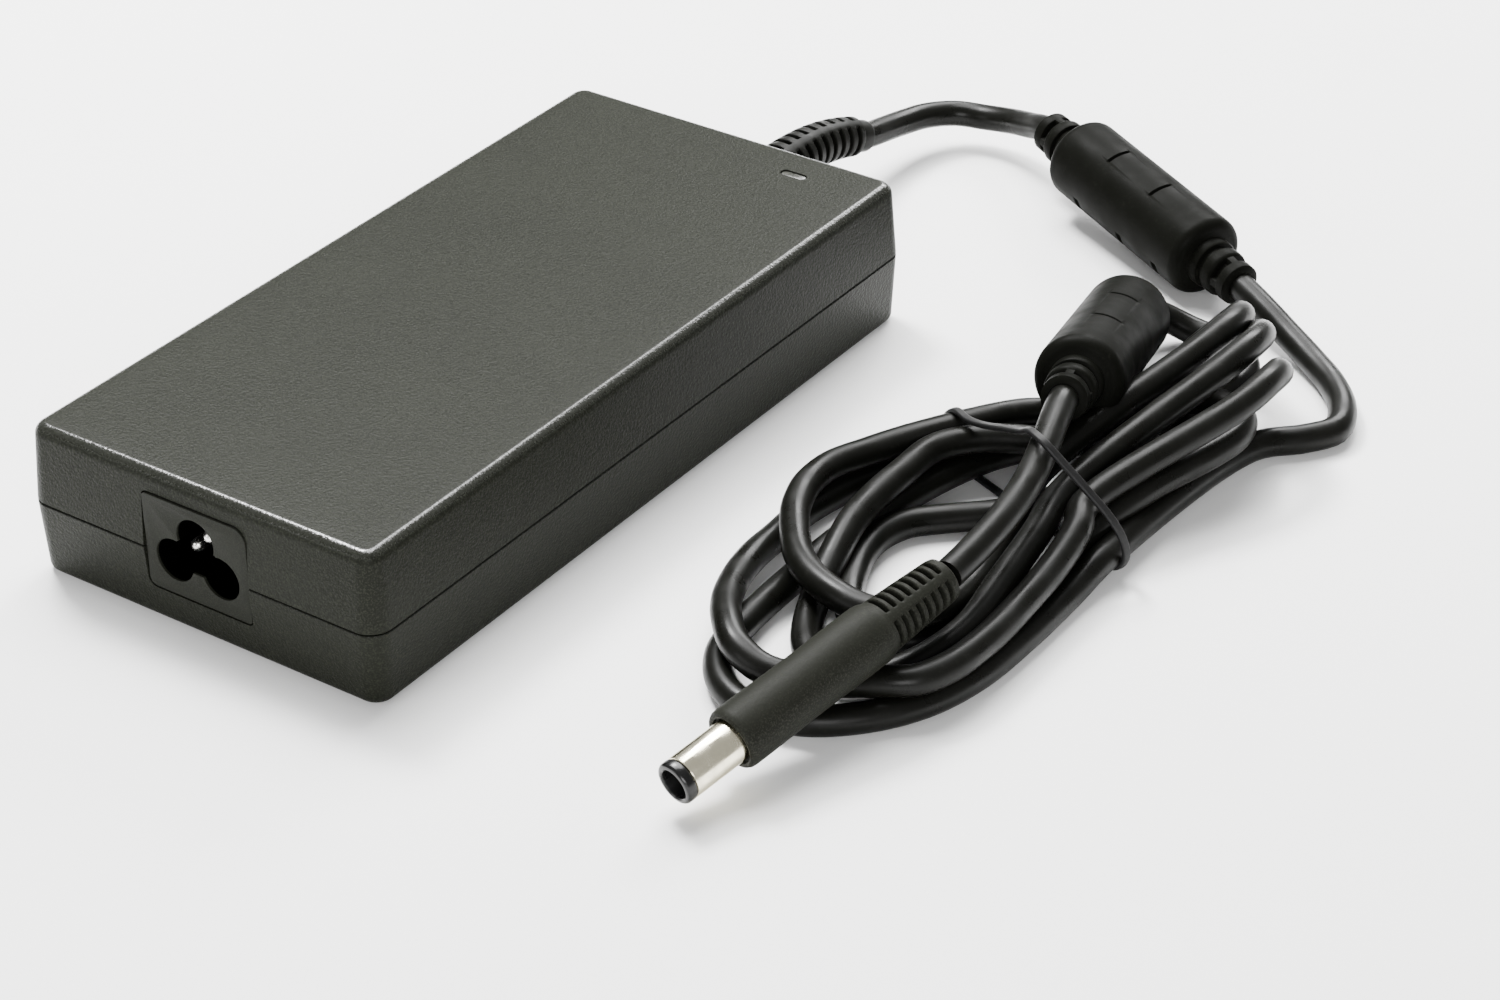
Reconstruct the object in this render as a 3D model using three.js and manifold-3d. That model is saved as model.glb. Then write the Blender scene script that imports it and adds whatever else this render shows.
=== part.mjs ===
// Laptop power adapter: a slim moulded brick with a three-pole AC inlet at one end and a fixed DC output
// cord at the other. Millimetres, +Z up. The origin is the centre of the case's underside, +Y runs along
// the length of the case towards the output cord, and +X runs across it.
import * as THREE from 'three';
import { mergeVertices } from 'three/addons/utils/BufferGeometryUtils.js';
import Module from 'manifold-3d';

const wasm = await Module();
wasm.setup();

// ---- driving dimensions ----------------------------------------------------------------------------
const GAP = 0.3;                          // clearance between neighbouring pieces

const CASE_WIDTH = 76;
const CASE_LENGTH = 156;
const CASE_HEIGHT = 29;
const SEAM_Z = 14.3;                      // height of the parting line between the two shells
const WALL = 2.0;
const CORNER_RADIUS = 4.3;                // vertical corners, seen from above
const TOP_DRAFT = 1.1;                    // how far the side leans in from the seam to the top
const BOTTOM_DRAFT = 0.8;
const TOP_FILLET = 2.1;
const BOTTOM_FILLET = 1.6;
const LIP_HEIGHT = 1.5;                   // tongue of the lower shell inside the upper one

const INLET_WIDTH = 22.3;
const INLET_Z = [7, 25];
const INLET_CORNER = 2.2;
const INLET_FACE_Y = -77.6;
const INLET_FLANGE_Y = -74.5;              // where the housing widens behind the front wall
const INLET_BACK_Y = -61.5;
const SOCKET_DEPTH = 13;
const SOCKET_LOBE_RADIUS = 4.0;
const PIN_RADIUS = 1.2;
const PIN_LINE_X = 5.0;                   // live and neutral stand this far to either side
const PIN_LINE_Z = 13.8;
const PIN_EARTH_Z = 18.3;
const LOBE_EARTH_Z = 19.2;

const LED_CENTRE = [19.3, 68.2];
const LED_SIZE = [5.0, 1.6];

const BOARD = { width: 68, y0: -58, y1: 72, z0: 5.0, thickness: 1.6 };
const PARTS_Z = BOARD.z0 + BOARD.thickness + GAP;   // components stand on the board

const CORD_RADIUS = 2.65;
const CORD_BORE = 0.4;                    // how much wider a bore is than the cord in it
const EXIT_Z = 14.5;
const RELIEF_ROUTE = [
  [0, 73, 14.5], [0, 80, 14.5], [0, 88, 14.8], [0, 97, 14.9], [0.2, 105, 14.3], [1, 112.5, 12.9],
  [2.4, 119, 11],
];
const RELIEF_ROOT_RADIUS = 5.1;
const RELIEF_TIP_RADIUS = 3.3;

const FERRITE_RADIUS = 8.1;
const FERRITE_LENGTH = 43.5;
const COLLAR_LENGTH = 10.5;
const SHORT_COLLAR = 3;                   // on the end of the far ferrite that the fold starts from
const NEAR_FERRITE = { from: [43, 134.8, 11.6], to: [82.2, 116.4, 8.2] };
const FAR_FERRITE = { from: [82.3, 85.5, 10.8], to: [94.4, 44.8, 20.4] };
const CHAMBER_END = 4;                    // solid ends of a ferrite's cover, beyond the core
const CHAMBER_RADIUS = 6.6;
const CORE_RADII = [3.2, 6.2];

const PLUG = { back: [105.4, -15.9, 17.5], tip: [92.6, -73.6, 6.4] };
const BOOT_LENGTH = 16;
const GRIP_LENGTH = 32;
const GRIP_RADIUS = 5.3;
const BARREL_RADIUS = 3.7;
const BARREL_BORE_RADIUS = 2.55;
const TIP_RING_LENGTH = 1.9;

// Where the cord isn't wound, its centre line goes through these points: first from the strain relief
// through the near ferrite to the hank, then out of the hank through the far ferrite to the plug.
const LEAD_ROUTE = [
  [2.4, 119.7, 10.8], [2.6, 125.6, 9.7], [3, 132.2, 8.6], [4.6, 138.8, 7.9], [8.6, 144.2, 7.3],
  [14.4, 146.3, 7.1], [20.6, 145.8, 8.2], [26.8, 143.1, 10.1],
  ...axisPoints(NEAR_FERRITE, [-COLLAR_LENGTH, 0, 21.7, FERRITE_LENGTH, FERRITE_LENGTH + COLLAR_LENGTH]),
  [98.4, 108.8, 6], [105.4, 105.4, 4.2], [112.4, 101.4, 3], [119.4, 96, 2.8], [124.8, 89.2, 2.8],
  [126.9, 82.2, 2.8], [123.6, 76.4, 2.8], [121.6, 74.4, 2.8],
];
const TAIL_ROUTE = [
  [104.6, 88.6, 2.8], [103.8, 92, 2.8], [100, 96.6, 2.8], [94, 98.8, 2.8], [88.4, 98.2, 3.6],
  [83.6, 96.2, 5.9], [80.9, 92.4, 8.5],
  ...axisPoints(FAR_FERRITE, [-SHORT_COLLAR, 0, 21.7, FERRITE_LENGTH, FERRITE_LENGTH + COLLAR_LENGTH]),
  [99, 29.4, 22.4], [101.2, 22.6, 21.7], [103.4, 14.8, 20.8], [104.9, 6.6, 19.8], [105.6, -2, 18.9],
  [105.7, -9, 18.2], [105.5, -15.2, 17.6],
];
const LEAD_STEPS = 44;
const TAIL_STEPS = 34;
const CORD_SIDES = 10;

// Outline of the wound hank from above, its underside, and how its top rises from the plug to the cord.
const HANK_OUTLINE = [
  [115.2, -32], [115.2, 28], [121.5, 56], [123.4, 72.4], [117.4, 78], [113.5, 88], [93.5, 88],
  [97.8, 66], [104, 46], [88, 37], [76.2, 35], [60.5, 15], [60, -5], [66, -32], [76, -46], [88, -50],
  [102, -46],
];
const HANK_CORNER = 3.4;
const HANK_BOTTOM = 2.2;
const HANK_TOP = [
  [-60, 2.6], [-52, 4.2], [-31, 8.0], [-16, 11.4], [-4, 11.8], [42, 11.8], [58, 18.5], [95, 18.5],
];

// The tie is a closed band on a slant across the hank, with one long side leaning over towards the plug.
const TIE_TURN = -23.5;                   // degrees from +X to the band's course, seen from above
const TIE_THICKNESS = 1.2;
const TIE_WIDTH = 1.8;
const TIE_LOOP = [
  [75, 38.2, 0.8], [93, 31, 0.8], [111, 24.2, 0.8], [117.2, 22.2, 2], [118.4, 21.7, 5], [117.8, 21.4, 9],
  [115.4, 20.4, 13.4], [111.4, 19.4, 17.8], [107.2, 18.2, 22], [103.4, 17.8, 25.2], [99.8, 19.8, 25],
  [96.2, 22.9, 22.2], [89.4, 27.8, 18], [83.4, 31.4, 15.2], [79.6, 33.4, 14.2], [75, 36.2, 13],
  [71.8, 38, 9.6], [70.8, 38.8, 5], [72, 39, 1.8],
];
const TIE_STEPS = 48;

// ---- materials -------------------------------------------------------------------------------------
function material(color, roughness, metalness = 0) {
  return new THREE.MeshStandardMaterial({ color, roughness, metalness });
}
const charcoal = () => material(0x35362f, 0.62);
const blackPlastic = () => material(0x1c1c1a, 0.55);
const cordJacket = () => material(0x121212, 0.42);
const overmould = () => material(0x171716, 0.5);
const nickel = () => material(0xcfc9a8, 0.22, 1);
const brass = () => material(0xb89a5a, 0.3, 1);
const aluminium = () => material(0xb4b6b8, 0.4, 1);
const ferrite = () => material(0x2b2b2d, 0.6);
const copper = () => material(0xb4713e, 0.4, 1);
const greenBoard = () => material(0x2f5a35, 0.5);
const epoxy = () => material(0x18181a, 0.5);
const yellowFilm = () => material(0xc9a53a, 0.5);
const sleeve = () => material(0x20242c, 0.4);
const whiteSheet = () => material(0xd9d7cf, 0.7);
const clearLens = () => material(0xaab4a0, 0.2);

// ---- small helpers ---------------------------------------------------------------------------------
const vec = (p) => new THREE.Vector3(...p);

function axisPoints(span, distances) {
  const start = new THREE.Vector3(...span.from);
  const direction = new THREE.Vector3(...span.to).sub(start).normalize();
  return distances.map((d) => direction.clone().multiplyScalar(d).add(start).toArray());
}

function toManifold(geometry) {
  const bare = new THREE.BufferGeometry();
  bare.setAttribute('position', geometry.getAttribute('position').clone());
  if (geometry.index) bare.setIndex(geometry.index.clone());
  const merged = mergeVertices(bare, 1e-4);
  return new wasm.Manifold(new wasm.Mesh({
    numProp: 3,
    vertProperties: new Float32Array(merged.getAttribute('position').array),
    triVerts: new Uint32Array(merged.index.array),
  }));
}

function toGeometry(manifold) {
  const mesh = manifold.getMesh();
  const geometry = new THREE.BufferGeometry();
  geometry.setAttribute('position', new THREE.BufferAttribute(new Float32Array(mesh.vertProperties), 3));
  geometry.setIndex(new THREE.BufferAttribute(new Uint32Array(mesh.triVerts), 1));
  geometry.computeVertexNormals();
  return geometry;
}

function join(...geometries) {
  return toGeometry(geometries.map(toManifold).reduce((a, b) => a.add(b)));
}

function cut(base, ...tools) {
  return toGeometry(tools.map(toManifold).reduce((a, b) => a.subtract(b), toManifold(base)));
}

function keepInside(base, limit) {
  return toGeometry(toManifold(base).intersect(toManifold(limit)));
}

function box(x, y, z) {
  const geometry = new THREE.BoxGeometry(x[1] - x[0], y[1] - y[0], z[1] - z[0]);
  return geometry.translate((x[0] + x[1]) / 2, (y[0] + y[1]) / 2, (z[0] + z[1]) / 2);
}

function blockOn(centre, size) {
  const [x, y] = centre;
  const [w, l, h] = size;
  return box([x - w / 2, x + w / 2], [y - l / 2, y + l / 2], [PARTS_Z, PARTS_Z + h]);
}

function rodY(radius, x, y, z, sides = 16) {
  const geometry = new THREE.CylinderGeometry(radius, radius, y[1] - y[0], sides);
  return geometry.translate(x, (y[0] + y[1]) / 2, z);
}

function rodZ(radius, x, y, z, sides = 16) {
  const geometry = new THREE.CylinderGeometry(radius, radius, z[1] - z[0], sides).rotateX(Math.PI / 2);
  return geometry.translate(x, y, (z[0] + z[1]) / 2);
}

function lathe(profile, sides = 24) {
  const points = profile.map(([r, h]) => new THREE.Vector2(r, h));
  return new THREE.LatheGeometry(points, sides);
}

// Turns a lathe, whose own axis is +Y from 0 upwards, onto the line from start towards end.
function layAlong(geometry, start, end) {
  const direction = vec(end).sub(vec(start)).normalize();
  geometry.applyQuaternion(new THREE.Quaternion().setFromUnitVectors(new THREE.Vector3(0, 1, 0), direction));
  return geometry.translate(...start);
}

function pointToward(start, end, distance) {
  return axisPoints({ from: start, to: end }, [distance])[0];
}

function roundedShape(corners, radius) {
  const shape = new THREE.Shape();
  const count = corners.length;
  for (let i = 0; i < count; i += 1) {
    const here = new THREE.Vector2(...corners[i]);
    const before = new THREE.Vector2(...corners[(i + count - 1) % count]).sub(here);
    const after = new THREE.Vector2(...corners[(i + 1) % count]).sub(here);
    const reach = Math.min(radius, before.length() / 2.2, after.length() / 2.2);
    const enter = here.clone().add(before.setLength(reach));
    const leave = here.clone().add(after.setLength(reach));
    if (i === 0) shape.moveTo(enter.x, enter.y);
    else shape.lineTo(enter.x, enter.y);
    shape.quadraticCurveTo(here.x, here.y, leave.x, leave.y);
  }
  shape.closePath();
  return shape;
}

function extrude(shape, depth, curveSegments = 4) {
  return new THREE.ExtrudeGeometry(shape, { depth, bevelEnabled: false, curveSegments });
}

// A prism whose outline is drawn in X and Z and which runs along +Y from y[0] to y[1].
function prismY(shape, y, curveSegments = 4) {
  const geometry = extrude(shape, y[1] - y[0], curveSegments);
  return geometry.rotateX(Math.PI / 2).translate(0, y[1], 0);
}

function rectangle(x, z) {
  return [[x[0], z[0]], [x[1], z[0]], [x[1], z[1]], [x[0], z[1]]];
}

function tube(route, steps, radius, sides) {
  const ring = new THREE.Shape();
  for (let i = 0; i < sides; i += 1) {
    const angle = (i / sides) * Math.PI * 2;
    if (i === 0) ring.moveTo(radius, 0);
    else ring.lineTo(radius * Math.cos(angle), radius * Math.sin(angle));
  }
  ring.closePath();
  const extrudePath = new THREE.CatmullRomCurve3(route.map(vec));
  return new THREE.ExtrudeGeometry(ring, { steps, extrudePath, bevelEnabled: false });
}

// A closed body of round section along a curve; stations are pairs of distance along it and radius.
function sweptBody(route, stations, sides = 14) {
  const curve = new THREE.CatmullRomCurve3(route.map(vec));
  const total = curve.getLength();
  const positions = [];
  const index = [];
  const across = new THREE.Vector3(1, 0, 0);
  stations.forEach(([distance, radius]) => {
    const at = Math.min(distance / total, 1);
    const centre = curve.getPointAt(at);
    const tangent = curve.getTangentAt(at);
    const up = new THREE.Vector3().crossVectors(across, tangent).normalize();
    const side = new THREE.Vector3().crossVectors(tangent, up);
    for (let i = 0; i < sides; i += 1) {
      const angle = (i / sides) * Math.PI * 2;
      const point = centre.clone();
      point.addScaledVector(side, radius * Math.cos(angle)).addScaledVector(up, radius * Math.sin(angle));
      positions.push(...point.toArray());
    }
  });
  const rings = stations.length;
  for (let r = 0; r < rings - 1; r += 1) {
    for (let i = 0; i < sides; i += 1) {
      const next = (i + 1) % sides;
      const a = r * sides + i;
      const b = r * sides + next;
      index.push(a, b, a + sides, b, b + sides, a + sides);
    }
  }
  const last = (rings - 1) * sides;
  for (let i = 1; i < sides - 1; i += 1) {
    index.push(0, i + 1, i);
    index.push(last, last + i, last + i + 1);
  }
  const geometry = new THREE.BufferGeometry();
  geometry.setAttribute('position', new THREE.Float32BufferAttribute(positions, 3));
  geometry.setIndex(index);
  return outward(geometry);
}

// Turns every face round if the body encloses a negative volume.
function outward(geometry) {
  const p = geometry.getAttribute('position');
  const faces = geometry.index.array;
  let volume = 0;
  for (let i = 0; i < faces.length; i += 3) {
    const [a, b, c] = [0, 1, 2].map((k) => new THREE.Vector3().fromBufferAttribute(p, faces[i + k]));
    volume += a.dot(b.cross(c));
  }
  if (volume < 0) {
    for (let i = 0; i < faces.length; i += 3) [faces[i + 1], faces[i + 2]] = [faces[i + 2], faces[i + 1]];
  }
  geometry.computeVertexNormals();
  return geometry;
}

// ---- case shells -----------------------------------------------------------------------------------
function caseRing(inset) {
  const radius = Math.max(CORNER_RADIUS - inset, 0.6);
  const x = CASE_WIDTH / 2 - inset - radius;
  const y = CASE_LENGTH / 2 - inset - radius;
  const steps = 6;
  const ring = [];
  [[x, y, 0], [-x, y, 90], [-x, -y, 180], [x, -y, 270]].forEach(([cx, cy, start]) => {
    for (let i = 0; i <= steps; i += 1) {
      const angle = THREE.MathUtils.degToRad(start + (90 * i) / steps);
      ring.push([cx + radius * Math.cos(angle), cy + radius * Math.sin(angle)]);
    }
  });
  return ring;
}

function loftCase(levels) {
  const rings = levels.map(([z, inset]) => caseRing(inset).map(([x, y]) => [x, y, z]));
  const count = rings[0].length;
  const index = [];
  for (let r = 0; r < rings.length - 1; r += 1) {
    for (let i = 0; i < count; i += 1) {
      const next = (i + 1) % count;
      const a = r * count + i;
      const b = r * count + next;
      index.push(a, b, b + count, a, b + count, a + count);
    }
  }
  const last = (rings.length - 1) * count;
  for (let i = 1; i < count - 1; i += 1) {
    index.push(0, i + 1, i);
    index.push(last, last + i, last + i + 1);
  }
  const geometry = new THREE.BufferGeometry();
  geometry.setAttribute('position', new THREE.Float32BufferAttribute(rings.flat(2), 3));
  geometry.setIndex(index);
  return outward(geometry);
}

function sideInset(z) {
  if (z >= SEAM_Z) return (TOP_DRAFT * (z - SEAM_Z)) / (CASE_HEIGHT - SEAM_Z);
  return (BOTTOM_DRAFT * (SEAM_Z - z)) / SEAM_Z;
}

// Levels of a filleted end: from where the fillet starts to the flat face at z.
function filletLevels(z, radius, upward) {
  const steps = 4;
  const levels = [];
  for (let i = 0; i <= steps; i += 1) {
    const angle = ((Math.PI / 2) * i) / steps;
    const depth = radius * (1 - Math.sin(angle));
    const level = upward ? z - depth : z + depth;
    levels.push([level, sideInset(level) + radius * (1 - Math.cos(angle))]);
  }
  return levels;
}

const inletOpening = (margin, y) => {
  const x = INLET_WIDTH / 2 + margin;
  const corners = rectangle([-x, x], [INLET_Z[0] - margin, INLET_Z[1] + margin]);
  return prismY(roundedShape(corners, INLET_CORNER), y);
};

const exitOpening = () => rodY(RELIEF_ROOT_RADIUS + GAP, 0, [74, 80], EXIT_Z, 20);

function topShell() {
  const low = SEAM_Z + GAP / 2;
  const outer = loftCase([[low, sideInset(low)], ...filletLevels(CASE_HEIGHT, TOP_FILLET, true)]);
  const ceiling = CASE_HEIGHT - WALL - 0.2;
  const inner = TOP_DRAFT + WALL;
  const hollow = loftCase([[low - 1, WALL], [low, WALL], [ceiling - 1, inner], [ceiling, inner + 1]]);
  const rebate = loftCase([[low - 1, 0.85], [low + LIP_HEIGHT + GAP, 0.95]]);
  const ledX = LED_SIZE[0] / 2 + GAP;
  const ledY = LED_SIZE[1] / 2 + GAP;
  const slot = extrude(roundedShape(rectangle([-ledX, ledX], [-ledY, ledY]), 0.9), 10);
  slot.translate(LED_CENTRE[0], LED_CENTRE[1], CASE_HEIGHT - 5);
  return cut(outer, hollow, rebate, slot, inletOpening(GAP, [-85, -72]), exitOpening());
}

function bottomShell() {
  const high = SEAM_Z - GAP / 2;
  const fillet = filletLevels(0, BOTTOM_FILLET, false).reverse();
  const outer = loftCase([...fillet, [high, sideInset(high)]]);
  const lip = loftCase([[high - 2, 1.15], [high + LIP_HEIGHT, 1.25]]);
  const floor = WALL + 0.2;
  const inner = BOTTOM_DRAFT + WALL;
  const hollow = loftCase([[floor, inner + 1], [floor + 1, inner], [high, WALL], [30, WALL]]);
  const label = extrude(roundedShape(rectangle([-28, 28], [-42, 42]), 2), 0.6);
  const bosses = boardCorners().map(([x, y]) => rodZ(3, x, y, [floor - 0.5, BOARD.z0 - GAP]));
  const shell = cut(join(outer, lip), hollow, label.translate(0, 0, -0.1));
  return cut(join(shell, ...bosses), inletOpening(GAP, [-85, -72]), exitOpening());
}

function boardCorners() {
  const x = BOARD.width / 2 - 5;
  return [[-x, BOARD.y0 + 5], [x, BOARD.y0 + 5], [-x, BOARD.y1 - 5], [x, BOARD.y1 - 5]];
}

function ratingLabel() {
  const shape = roundedShape(rectangle([-27.6, 27.6], [-41.6, 41.6]), 2);
  return extrude(shape, 0.15).translate(0, 0, 0.1);
}

function ledWindow() {
  const [w, l] = LED_SIZE;
  const pane = extrude(roundedShape(rectangle([-w / 2, w / 2], [-l / 2, l / 2]), 0.7), 2.8);
  pane.translate(0, 0, CASE_HEIGHT - 2.9);
  const flange = box([-3.6, 3.6], [-1.9, 1.9], [CASE_HEIGHT - 3.6, CASE_HEIGHT - 2.6]);
  return join(pane, flange).translate(LED_CENTRE[0], LED_CENTRE[1], 0);
}

// ---- AC inlet --------------------------------------------------------------------------------------
function inletBody() {
  const bezel = inletOpening(0, [INLET_FACE_Y, INLET_FLANGE_Y + 0.1]);
  const housing = box([-12.6, 12.6], [INLET_FLANGE_Y, INLET_BACK_Y], [5.6, 26.2]);
  const socketY = [INLET_FACE_Y - 1, INLET_FACE_Y + SOCKET_DEPTH];
  const lobes = [[-PIN_LINE_X, PIN_LINE_Z], [PIN_LINE_X, PIN_LINE_Z], [0, LOBE_EARTH_Z]];
  const cavity = lobes.map(([x, z]) => rodY(SOCKET_LOBE_RADIUS, x, socketY, z, 20));
  const middle = box([-4.2, 4.2], socketY, [12.6, 18]);
  const bores = [[-PIN_LINE_X, PIN_LINE_Z], [PIN_LINE_X, PIN_LINE_Z], [0, PIN_EARTH_Z]];
  const pinHoles = bores.map(([x, z]) => rodY(PIN_RADIUS + GAP, x, [-66, -60], z, 12));
  return cut(join(bezel, housing), ...cavity, middle, ...pinHoles);
}

function inletPin(x, z, depth) {
  const length = -57 - (INLET_FACE_Y + depth);
  const profile = [[0, 0], [0.7, 0], [PIN_RADIUS, 0.6], [PIN_RADIUS, length], [0, length]];
  return lathe(profile, 14).translate(x, INLET_FACE_Y + depth, z);
}

// ---- circuit ---------------------------------------------------------------------------------------
function circuitBoard() {
  const x = BOARD.width / 2;
  return box([-x, x], [BOARD.y0, BOARD.y1], [BOARD.z0, BOARD.z0 + BOARD.thickness]);
}

function insulatingSheet() {
  const holes = boardCorners().map(([x, y]) => rodZ(3 + GAP, x, y, [2, 5]));
  return cut(box([-33.5, 33.5], [BOARD.y0, BOARD.y1], [3.0, 3.4]), ...holes);
}

function heatSpreader() {
  const plate = box([-33, 33], [-56, 71], [25.7, 26.4]);
  return cut(plate, box([14, 25], [64, 72], [25, 27]));
}

function standingCapacitor(x, y, radius, height) {
  const profile = [
    [0, 0], [radius - 0.5, 0], [radius, 0.4], [radius, 1.6], [radius - 0.35, 2], [radius, 2.4],
    [radius, height - 0.4], [radius - 0.5, height], [0, height],
  ];
  return lathe(profile, 16).rotateX(Math.PI / 2).translate(x, y, PARTS_Z);
}

function bulkCapacitor() {
  const radius = 8.8;
  const length = 36;
  const profile = [
    [0, 0], [radius - 0.8, 0], [radius, 0.8], [radius, 3], [radius - 0.5, 3.6], [radius, 4.2],
    [radius, length - 0.8], [radius - 0.8, length], [0, length],
  ];
  return lathe(profile, 24).translate(-21, -36, PARTS_Z + radius);
}

function toroid(x, y, radius, section, width) {
  const profile = [
    [radius - section, -width / 2], [radius, -width / 2], [radius, width / 2], [radius - section, width / 2],
    [radius - section, -width / 2],
  ];
  return lathe(profile, 24).translate(x, y, PARTS_Z + radius);
}

function discCapacitor() {
  const profile = [[0, 0], [3.6, 0], [4.2, 0.6], [4.2, 2.4], [3.6, 3], [0, 3]];
  return lathe(profile, 16).translate(-20.5, 4.5, PARTS_Z + 4.3);
}

function fuse() {
  const profile = [
    [0, 0], [3, 0], [3, 4], [2.6, 4], [2.6, 16], [3, 16], [3, 20], [0, 20],
  ];
  return lathe(profile, 16).translate(-28, -57, PARTS_Z + 3);
}

const CORE = { x: [-2, 30], y: [6, 34], height: 17.5, leg: 5, post: 4 };

function transformerCore() {
  const { x, y, height, leg, post } = CORE;
  const z = [PARTS_Z, PARTS_Z + height];
  const middle = (x[0] + x[1]) / 2;
  const gapZ = [z[0] + 3.5, z[1] - 3.5];
  const windowLeft = box([x[0] + leg, middle - post], [y[0] - 1, y[1] + 1], gapZ);
  const windowRight = box([middle + post, x[1] - leg], [y[0] - 1, y[1] + 1], gapZ);
  return cut(box(x, y, z), windowLeft, windowRight);
}

function transformerWinding() {
  const { x, y, height, leg, post } = CORE;
  const middle = (x[0] + x[1]) / 2;
  const z = [PARTS_Z + 3.5 + GAP, PARTS_Z + height - 3.5 - GAP];
  const across = [x[0] + leg + GAP, x[1] - leg - GAP];
  const coil = box(across, [y[0] - 4, y[1] + 4], z);
  const opening = [middle - post - GAP, middle + post + GAP];
  return cut(coil, box(opening, [y[0] - GAP, y[1] + GAP], [z[0] - 1, z[1] + 1]));
}

function heatSink(x, y, foot) {
  const plate = box([x, x + 2], y, [PARTS_Z, PARTS_Z + 17.5]);
  const flange = box([Math.min(x, x + foot), Math.max(x + 2, x + foot)], y, [PARTS_Z, PARTS_Z + 2]);
  return join(plate, flange);
}

function statusLed() {
  const [x, y] = LED_CENTRE;
  const legs = [-1.2, 1.2].map((dx) => box([x + dx - 0.3, x + dx + 0.3], [y - 0.3, y + 0.3], [PARTS_Z, 20]));
  const dome = [[0, 0], [1.7, 0], [1.7, 0.8], [1.5, 0.8], [1.5, 3.2], [1.1, 4.2], [0, 4.8]];
  return join(lathe(dome, 14).rotateX(Math.PI / 2).translate(x, y, 19.5), ...legs);
}

function outputWire(side) {
  const foot = PARTS_Z + 0.7;
  const route = [
    [side * 1.6, 72.3, 14.5], [side * 2.2, 70.6, 13.4], [side * 3.4, 68, 10.5], [side * 4, 66.5, foot],
  ];
  return tube(route, 8, 1.0, 8);
}

// ---- output cord -----------------------------------------------------------------------------------
function strainRelief() {
  const length = new THREE.CatmullRomCurve3(RELIEF_ROUTE.map(vec)).getLength();
  const collar = 2.6;
  const ribsStart = 17.5;
  const ribs = 9;
  const pitch = (length - collar - ribsStart) / ribs;
  const root = RELIEF_ROOT_RADIUS - 0.2;
  const stations = [[0, 6.8], [1.6, 6.8], [1.65, RELIEF_ROOT_RADIUS], [ribsStart - 1, root]];
  for (let i = 0; i < ribs; i += 1) {
    const from = ribsStart + i * pitch;
    const rib = THREE.MathUtils.lerp(root, 4.0, (i + 1) / ribs);
    const groove = rib - 1.1;
    stations.push([from, groove], [from + pitch * 0.4, groove]);
    stations.push([from + pitch * 0.45, rib], [from + pitch * 0.95, rib]);
  }
  stations.push([length - collar, RELIEF_TIP_RADIUS], [length, RELIEF_TIP_RADIUS - 0.2]);
  return sweptBody(RELIEF_ROUTE, stations);
}

// Half profile of a ribbed collar that reaches out of a ferrite cover's end at base.
function collarProfile(base, sign, reach) {
  const steps = [
    [3.7, 0], [4.1, 0.5], [4.1, 2.5], [3.5, 2.7], [3.5, 4.4], [4.6, 4.6], [4.6, 6.6], [4.0, 6.8],
  ];
  return steps.map(([radius, back]) => [radius, base + sign * (reach - back)]);
}

// Half profile of a ferrite cover along its axis: collar, rounded body, collar, and the bore inside.
function ferriteCover(span, backCollar) {
  const r = FERRITE_RADIUS;
  const l = FERRITE_LENGTH;
  const bore = CORD_RADIUS + CORD_BORE;
  const chamber = [CHAMBER_END, l - CHAMBER_END];
  const stub = [[3.7, -backCollar], [4.6, -backCollar + 0.6], [4.6, -0.6]];
  const back = backCollar > SHORT_COLLAR ? collarProfile(0, -1, backCollar) : stub;
  const front = collarProfile(l, 1, COLLAR_LENGTH);
  const profile = [
    ...back, [4.2, 0], [6.3, 0], [r - 0.5, 0.8], [r, 2.4],
    [r, l - 2.4], [r - 0.5, l - 0.8], [6.3, l], [4.2, l],
    ...front.reverse(),
    [bore + 0.2, l + COLLAR_LENGTH], [bore, chamber[1]], [CHAMBER_RADIUS, chamber[1]],
    [CHAMBER_RADIUS, chamber[0]], [bore, chamber[0]], [bore + 0.2, -backCollar], back[0],
  ];
  return layAlong(lathe(profile, 20), span.from, span.to);
}

function ferriteCore(span) {
  const from = CHAMBER_END + GAP;
  const to = FERRITE_LENGTH - CHAMBER_END - GAP;
  const [inner, outer] = CORE_RADII;
  const profile = [[inner, from], [outer, from], [outer, to], [inner, to], [inner, from]];
  return layAlong(lathe(profile, 20), span.from, span.to);
}

function hank() {
  const slab = extrude(roundedShape(HANK_OUTLINE, HANK_CORNER), 20).translate(0, 0, HANK_BOTTOM);
  const side = new THREE.Shape();
  side.moveTo(HANK_TOP[0][0], 0);
  HANK_TOP.forEach(([y, z]) => side.lineTo(y, z));
  side.lineTo(HANK_TOP[HANK_TOP.length - 1][0], 0);
  side.closePath();
  const limit = extrude(side, 100).applyMatrix4(new THREE.Matrix4().set(
    0, 0, 1, 40,
    1, 0, 0, 0,
    0, 1, 0, 0,
    0, 0, 0, 1,
  ));
  return keepInside(slab, limit);
}

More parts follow.
